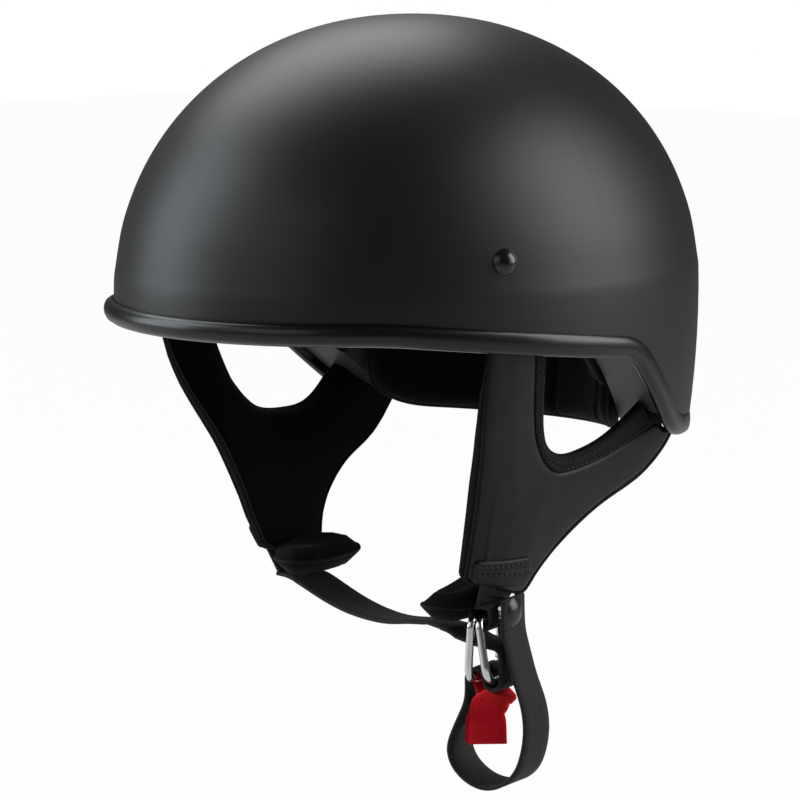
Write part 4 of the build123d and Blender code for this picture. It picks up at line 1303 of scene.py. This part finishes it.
class HELMET_OT_chin_strap(bpy.types.Operator):
    """Weaves the chin strap, the eye that holds the rings and the strap's tail"""

    bl_idname = "helmet.chin_strap"
    bl_label = "Weave chin strap"

    def execute(self, context):
        sizes, colours = context.scene.helmet_sizes, context.scene.helmet_colours
        width, thick = sizes.strap_width / MM, sizes.strap_thickness / MM
        webbing, thread = webbing_finish(colours), thread_finish()
        outer, inner = bow_spot(1, 9.0), bow_spot(-1, -3.0)
        between = (outer[0] - ROUND_BOW + inner[0] + OVER_BOW) / 2
        far_side, near_side = outer[0] + ROUND_BOW, inner[0] - INSIDE_BOW
        under, over = outer[1] - ROUND_BOW, inner[1] + OVER_BOW
        fold = [
            STRAP_ENTRY, (inner[0], -127.4), (far_side, -129.0), (far_side, under),
            (between, under), (between, over), (near_side, over), (near_side, inner[1] - 1.3),
        ]
        ring_run = [buckle_spot(*spot) for spot in rounded(fold, FOLD_BENDS, 0.5)]
        route = eased(evenly(np.vstack([smooth_through(CHIN_SAG, 80), ring_run]), 420), 6)
        far = np.linspace(0, 1, 420)
        entry = np.argmin(np.linalg.norm(route - buckle_spot(*STRAP_ENTRY), axis=1)) / 419
        turned = np.clip((far - entry * 0.55) / (entry * 0.45), 0, 1)[:, None]
        turned = turned * turned * (3 - 2 * turned)
        ahead = (far - entry) * length_of(route)
        forward = np.interp(route[:, 0], (-58, -48, -20, 0), (0.0, 0.36, 0.2, 0.0)) * (ahead < 0)
        level_across = unit(ALONG + forward[:, None] * np.array((1.0, 0, 0)))
        tilt = np.interp(ahead, *CHIN_TILT)[:, None]
        across = level_across * (1 - turned) + BUCKLE_ALONG * turned + UP * tilt
        strap = make_piece("chin_webbing", ribbon(route, across, width, thick), webbing)
        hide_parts("chin_strap")
        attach(strap, "chin_strap")

        loop = [buckle_spot(*spot) for spot in evenly(rounded(EYE_LOOP, EYE_BENDS, 0.5), 90)]
        eye = make_piece("ring_webbing", ribbon(loop, BUCKLE_ALONG, width, thick), webbing)
        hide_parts("ring_eye")
        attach(eye, "chin_strap")

        line = smooth_through([(near_side, inner[1] - 1.0), *TAIL_DROP], 260)
        route = np.array([buckle_spot(*spot) for spot in line])
        share = np.linspace(0, 1, 260)[:, None]
        across = BUCKLE_ALONG + BUCKLE_OUT * 0.10 * np.sin(share * math.pi) + UP * 0.06 * np.sin(share * 2 * math.pi)
        end = int(np.argmin(np.abs(run_of(route)[1:] - NECK_LENGTH)))
        neck_form = ribbon(route[: end + 1], across[: end + 1], width, thick)
        neck = make_piece("tail_neck", neck_form, webbing)
        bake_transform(neck)
        tail_form = ribbon(route[end:], across[end:], width, thick)
        tail = make_piece("tail_webbing", tail_form, webbing)
        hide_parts("strap_tail")
        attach(tail, "strap_tail")
        rows = []
        for height in (-108.4, -121.6):
            rows.append([buckle_spot(12.95, height, along) for along in np.linspace(-8, 8, 12)])
        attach(sew("tail_stitches", rows, thread, "left", 2.6, 1.9, 0.6), "strap_tail")
        return {"FINISHED"}


class HELMET_OT_pull_tab(bpy.types.Operator):
    """Folds the red pull tab round the inner ring's bow"""

    bl_idname = "helmet.pull_tab"
    bl_label = "Fold pull tab"

    def execute(self, context):
        sizes, colours = context.scene.helmet_sizes, context.scene.helmet_colours
        p, z = bow_spot(-1, -3.0)
        red = tuple(colours.pull_tab)
        selvedge = tuple(min(1, c * 1.5 + 0.01) for c in red)
        finish = woven("red ribbon", red, 0.0008, 0.0011, 0.4, 0.05, selvedge)
        line = smooth_through(TAB_FRONT + TAB_REAR, 200)
        ease = np.clip((-line[:, 1] - 3.2) / 8.5, 0, 1)
        ease = ease * ease * (3 - 2 * ease)
        turn = (TAB_TWIST * ease)[:, None]
        across = np.cos(turn) * BUCKLE_ALONG + np.sin(turn) * BUCKLE_OUT
        facing = np.cos(turn) * BUCKLE_OUT - np.sin(turn) * BUCKLE_ALONG
        shift = np.interp(line[:, 1], *TAB_SHIFT)[:, None]
        rear_ply = (np.linspace(0, 1, 200) > 0.5) * np.clip((-line[:, 1] - 13.0) / 6.0, 0, 1)
        route = buckle_spot(p, z) + shift * BUCKLE_OUT + line[:, :1] * facing + line[:, 1:] * UP
        route -= rear_ply[:, None] * 1.5 * across
        full = sizes.tab_width / MM
        widths = (11.0, 12.0, full - 1.0, full + 0.5, full - 3.0, full - 1.8, full - 1.2)
        width = np.interp(-line[:, 1], TAB_DEPTHS, widths)
        lean = 0.10 * np.exp(-(((line[:, 1] + 8) / 4) ** 2))
        across = across + lean[:, None] * UP
        tab = make_piece("pull_ribbon", ribbon(route, across, width, 0.9), finish)
        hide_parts("pull_tab")
        start, end = buckle_spot(p, z) * MM, buckle_spot(p, z - TAB_BEND) * MM
        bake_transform(tab)
        return {"FINISHED"}


def soft_lamp(name, centre, aim, width, height, power, colour):
    """A large soft lamp."""
    data = bpy.data.lights.new(name, "AREA")
    data.shape = "RECTANGLE"
    data.size, data.size_y = width, height
    data.energy = power
    data.color = colour
    lamp = placed(name, data)
    lamp.location = centre
    lamp.rotation_euler = (Vector(aim) - Vector(centre)).to_track_quat("-Z", "Y").to_euler()


class HELMET_OT_stage(bpy.types.Operator):
    """Sets the pale floor, the soft lamps and the camera"""

    bl_idname = "helmet.stage"
    bl_label = "Set stage"

    def execute(self, context):
        scene = context.scene
        mesh = bpy.data.meshes.new("studio_floor")
        corners = [(-6, -6), (6, -6), (6, 6), (-6, 6)]
        mesh.from_pydata([(x, y, FLOOR_LEVEL) for x, y in corners], [], [(0, 1, 2, 3)])
        floor = placed("studio_floor", mesh)
        paper = Finish("studio paper")
        rays = paper.add("ShaderNodeLightPath")
        node = rays.output.node
        glossy, through = (Socket(paper, node.outputs[f"Is {kind} Ray"]) for kind in ("Glossy", "Transmission"))
        seen = (rays + glossy * 0.15 + through).clipped()
        pale = paper.add("ShaderNodeBsdfDiffuse", {}, ((*scene.helmet_colours.floor, 1.0),))
        white = paper.add("ShaderNodeEmission", {}, ((1.0, 1.0, 1.0, 1.0), 1.0))
        mixed = paper.add("ShaderNodeMixShader", {}, (seen * 0.975, pale, white))
        paper.add("ShaderNodeOutputMaterial", {}, (mixed,))
        mesh.materials.append(paper.material)
        world = scene.world or bpy.data.worlds.new("studio")
        scene.world = world
        world.use_nodes = True
        tree = world.node_tree
        tree.nodes.clear()
        kinds = ("LightPath", "OutputWorld", "Background", "Background", "MixShader")
        path, out, soft, back, mix = (tree.nodes.new(f"ShaderNode{kind}") for kind in kinds)
        soft.inputs[0].default_value = (0.90, 0.94, 1.0, 1.0)
        soft.inputs[1].default_value = 0.07
        back.inputs[0].default_value = (1, 1, 1, 1)
        tree.links.new(path.outputs["Is Camera Ray"], mix.inputs[0])
        for slot, node in enumerate((soft, back), 1):
            tree.links.new(node.outputs[0], mix.inputs[slot])
        tree.links.new(mix.outputs[0], out.inputs[0])
        right = Vector((math.cos(AZIMUTH), math.sin(AZIMUTH), 0))
        level = Vector((math.sin(AZIMUTH), -math.cos(AZIMUTH), 0))
        behind = level * math.cos(ELEVATION) + Vector((0, 0, math.sin(ELEVATION)))
        above = behind.cross(right)
        for name, (place, width, height, power, colour) in LAMPS.items():
            centre = right * place[0] + above * place[1] + behind * place[2]
            soft_lamp(name, centre, (0, 0, 0.02), width, height, power, colour)
        scene.view_settings.view_transform = "Standard"
        data = bpy.data.cameras.new("photo_camera")
        data.sensor_width = 36.0
        data.lens = LENS
        data.clip_end = 60.0
        camera = placed("photo_camera", data)
        turn = Matrix((right, above, behind)).transposed().to_4x4()
        camera.matrix_world = Matrix.Translation(Vector(TARGET) * MM + behind * DISTANCE) @ turn
        scene.camera = camera
        return {"FINISHED"}


STEPS = (
    HELMET_OT_hard_parts,
    HELMET_OT_edge_trim,
    HELMET_OT_comfort_pads,
    HELMET_OT_ear_flaps,
    HELMET_OT_retention_straps,
    HELMET_OT_chin_strap,
    HELMET_OT_pull_tab,
    HELMET_OT_stage,
)


class HELMET_PT_steps(bpy.types.Panel):
    """Lists the helmet's steps, sizes and colours"""

    bl_idname = "HELMET_PT_steps"
    bl_label = "Half shell helmet"
    bl_space_type = "VIEW_3D"
    bl_region_type = "UI"
    bl_category = "Helmet"

    def draw(self, context):
        for step in STEPS:
            self.layout.operator(step.bl_idname)
        for group in (context.scene.helmet_sizes, context.scene.helmet_colours):
            for name in group.__annotations__:
                self.layout.prop(group, name)


CLASSES = (HelmetSizes, HelmetColours, *STEPS, HELMET_PT_steps)


def register():
    """Registers the classes and the scene's sizes and colours."""
    for item in CLASSES:
        bpy.utils.register_class(item)
    bpy.types.Scene.helmet_sizes = bpy.props.PointerProperty(type=HelmetSizes)
    bpy.types.Scene.helmet_colours = bpy.props.PointerProperty(type=HelmetColours)


def unregister():
    """Removes what register added."""
    del bpy.types.Scene.helmet_colours
    del bpy.types.Scene.helmet_sizes
    for item in reversed(CLASSES):
        bpy.utils.unregister_class(item)


def main():
    """Builds every piece in order."""
    register()
    for step in STEPS:
        group, name = step.bl_idname.split(".")
        getattr(getattr(bpy.ops, group), name)()


if __name__ == "__main__":
    main()
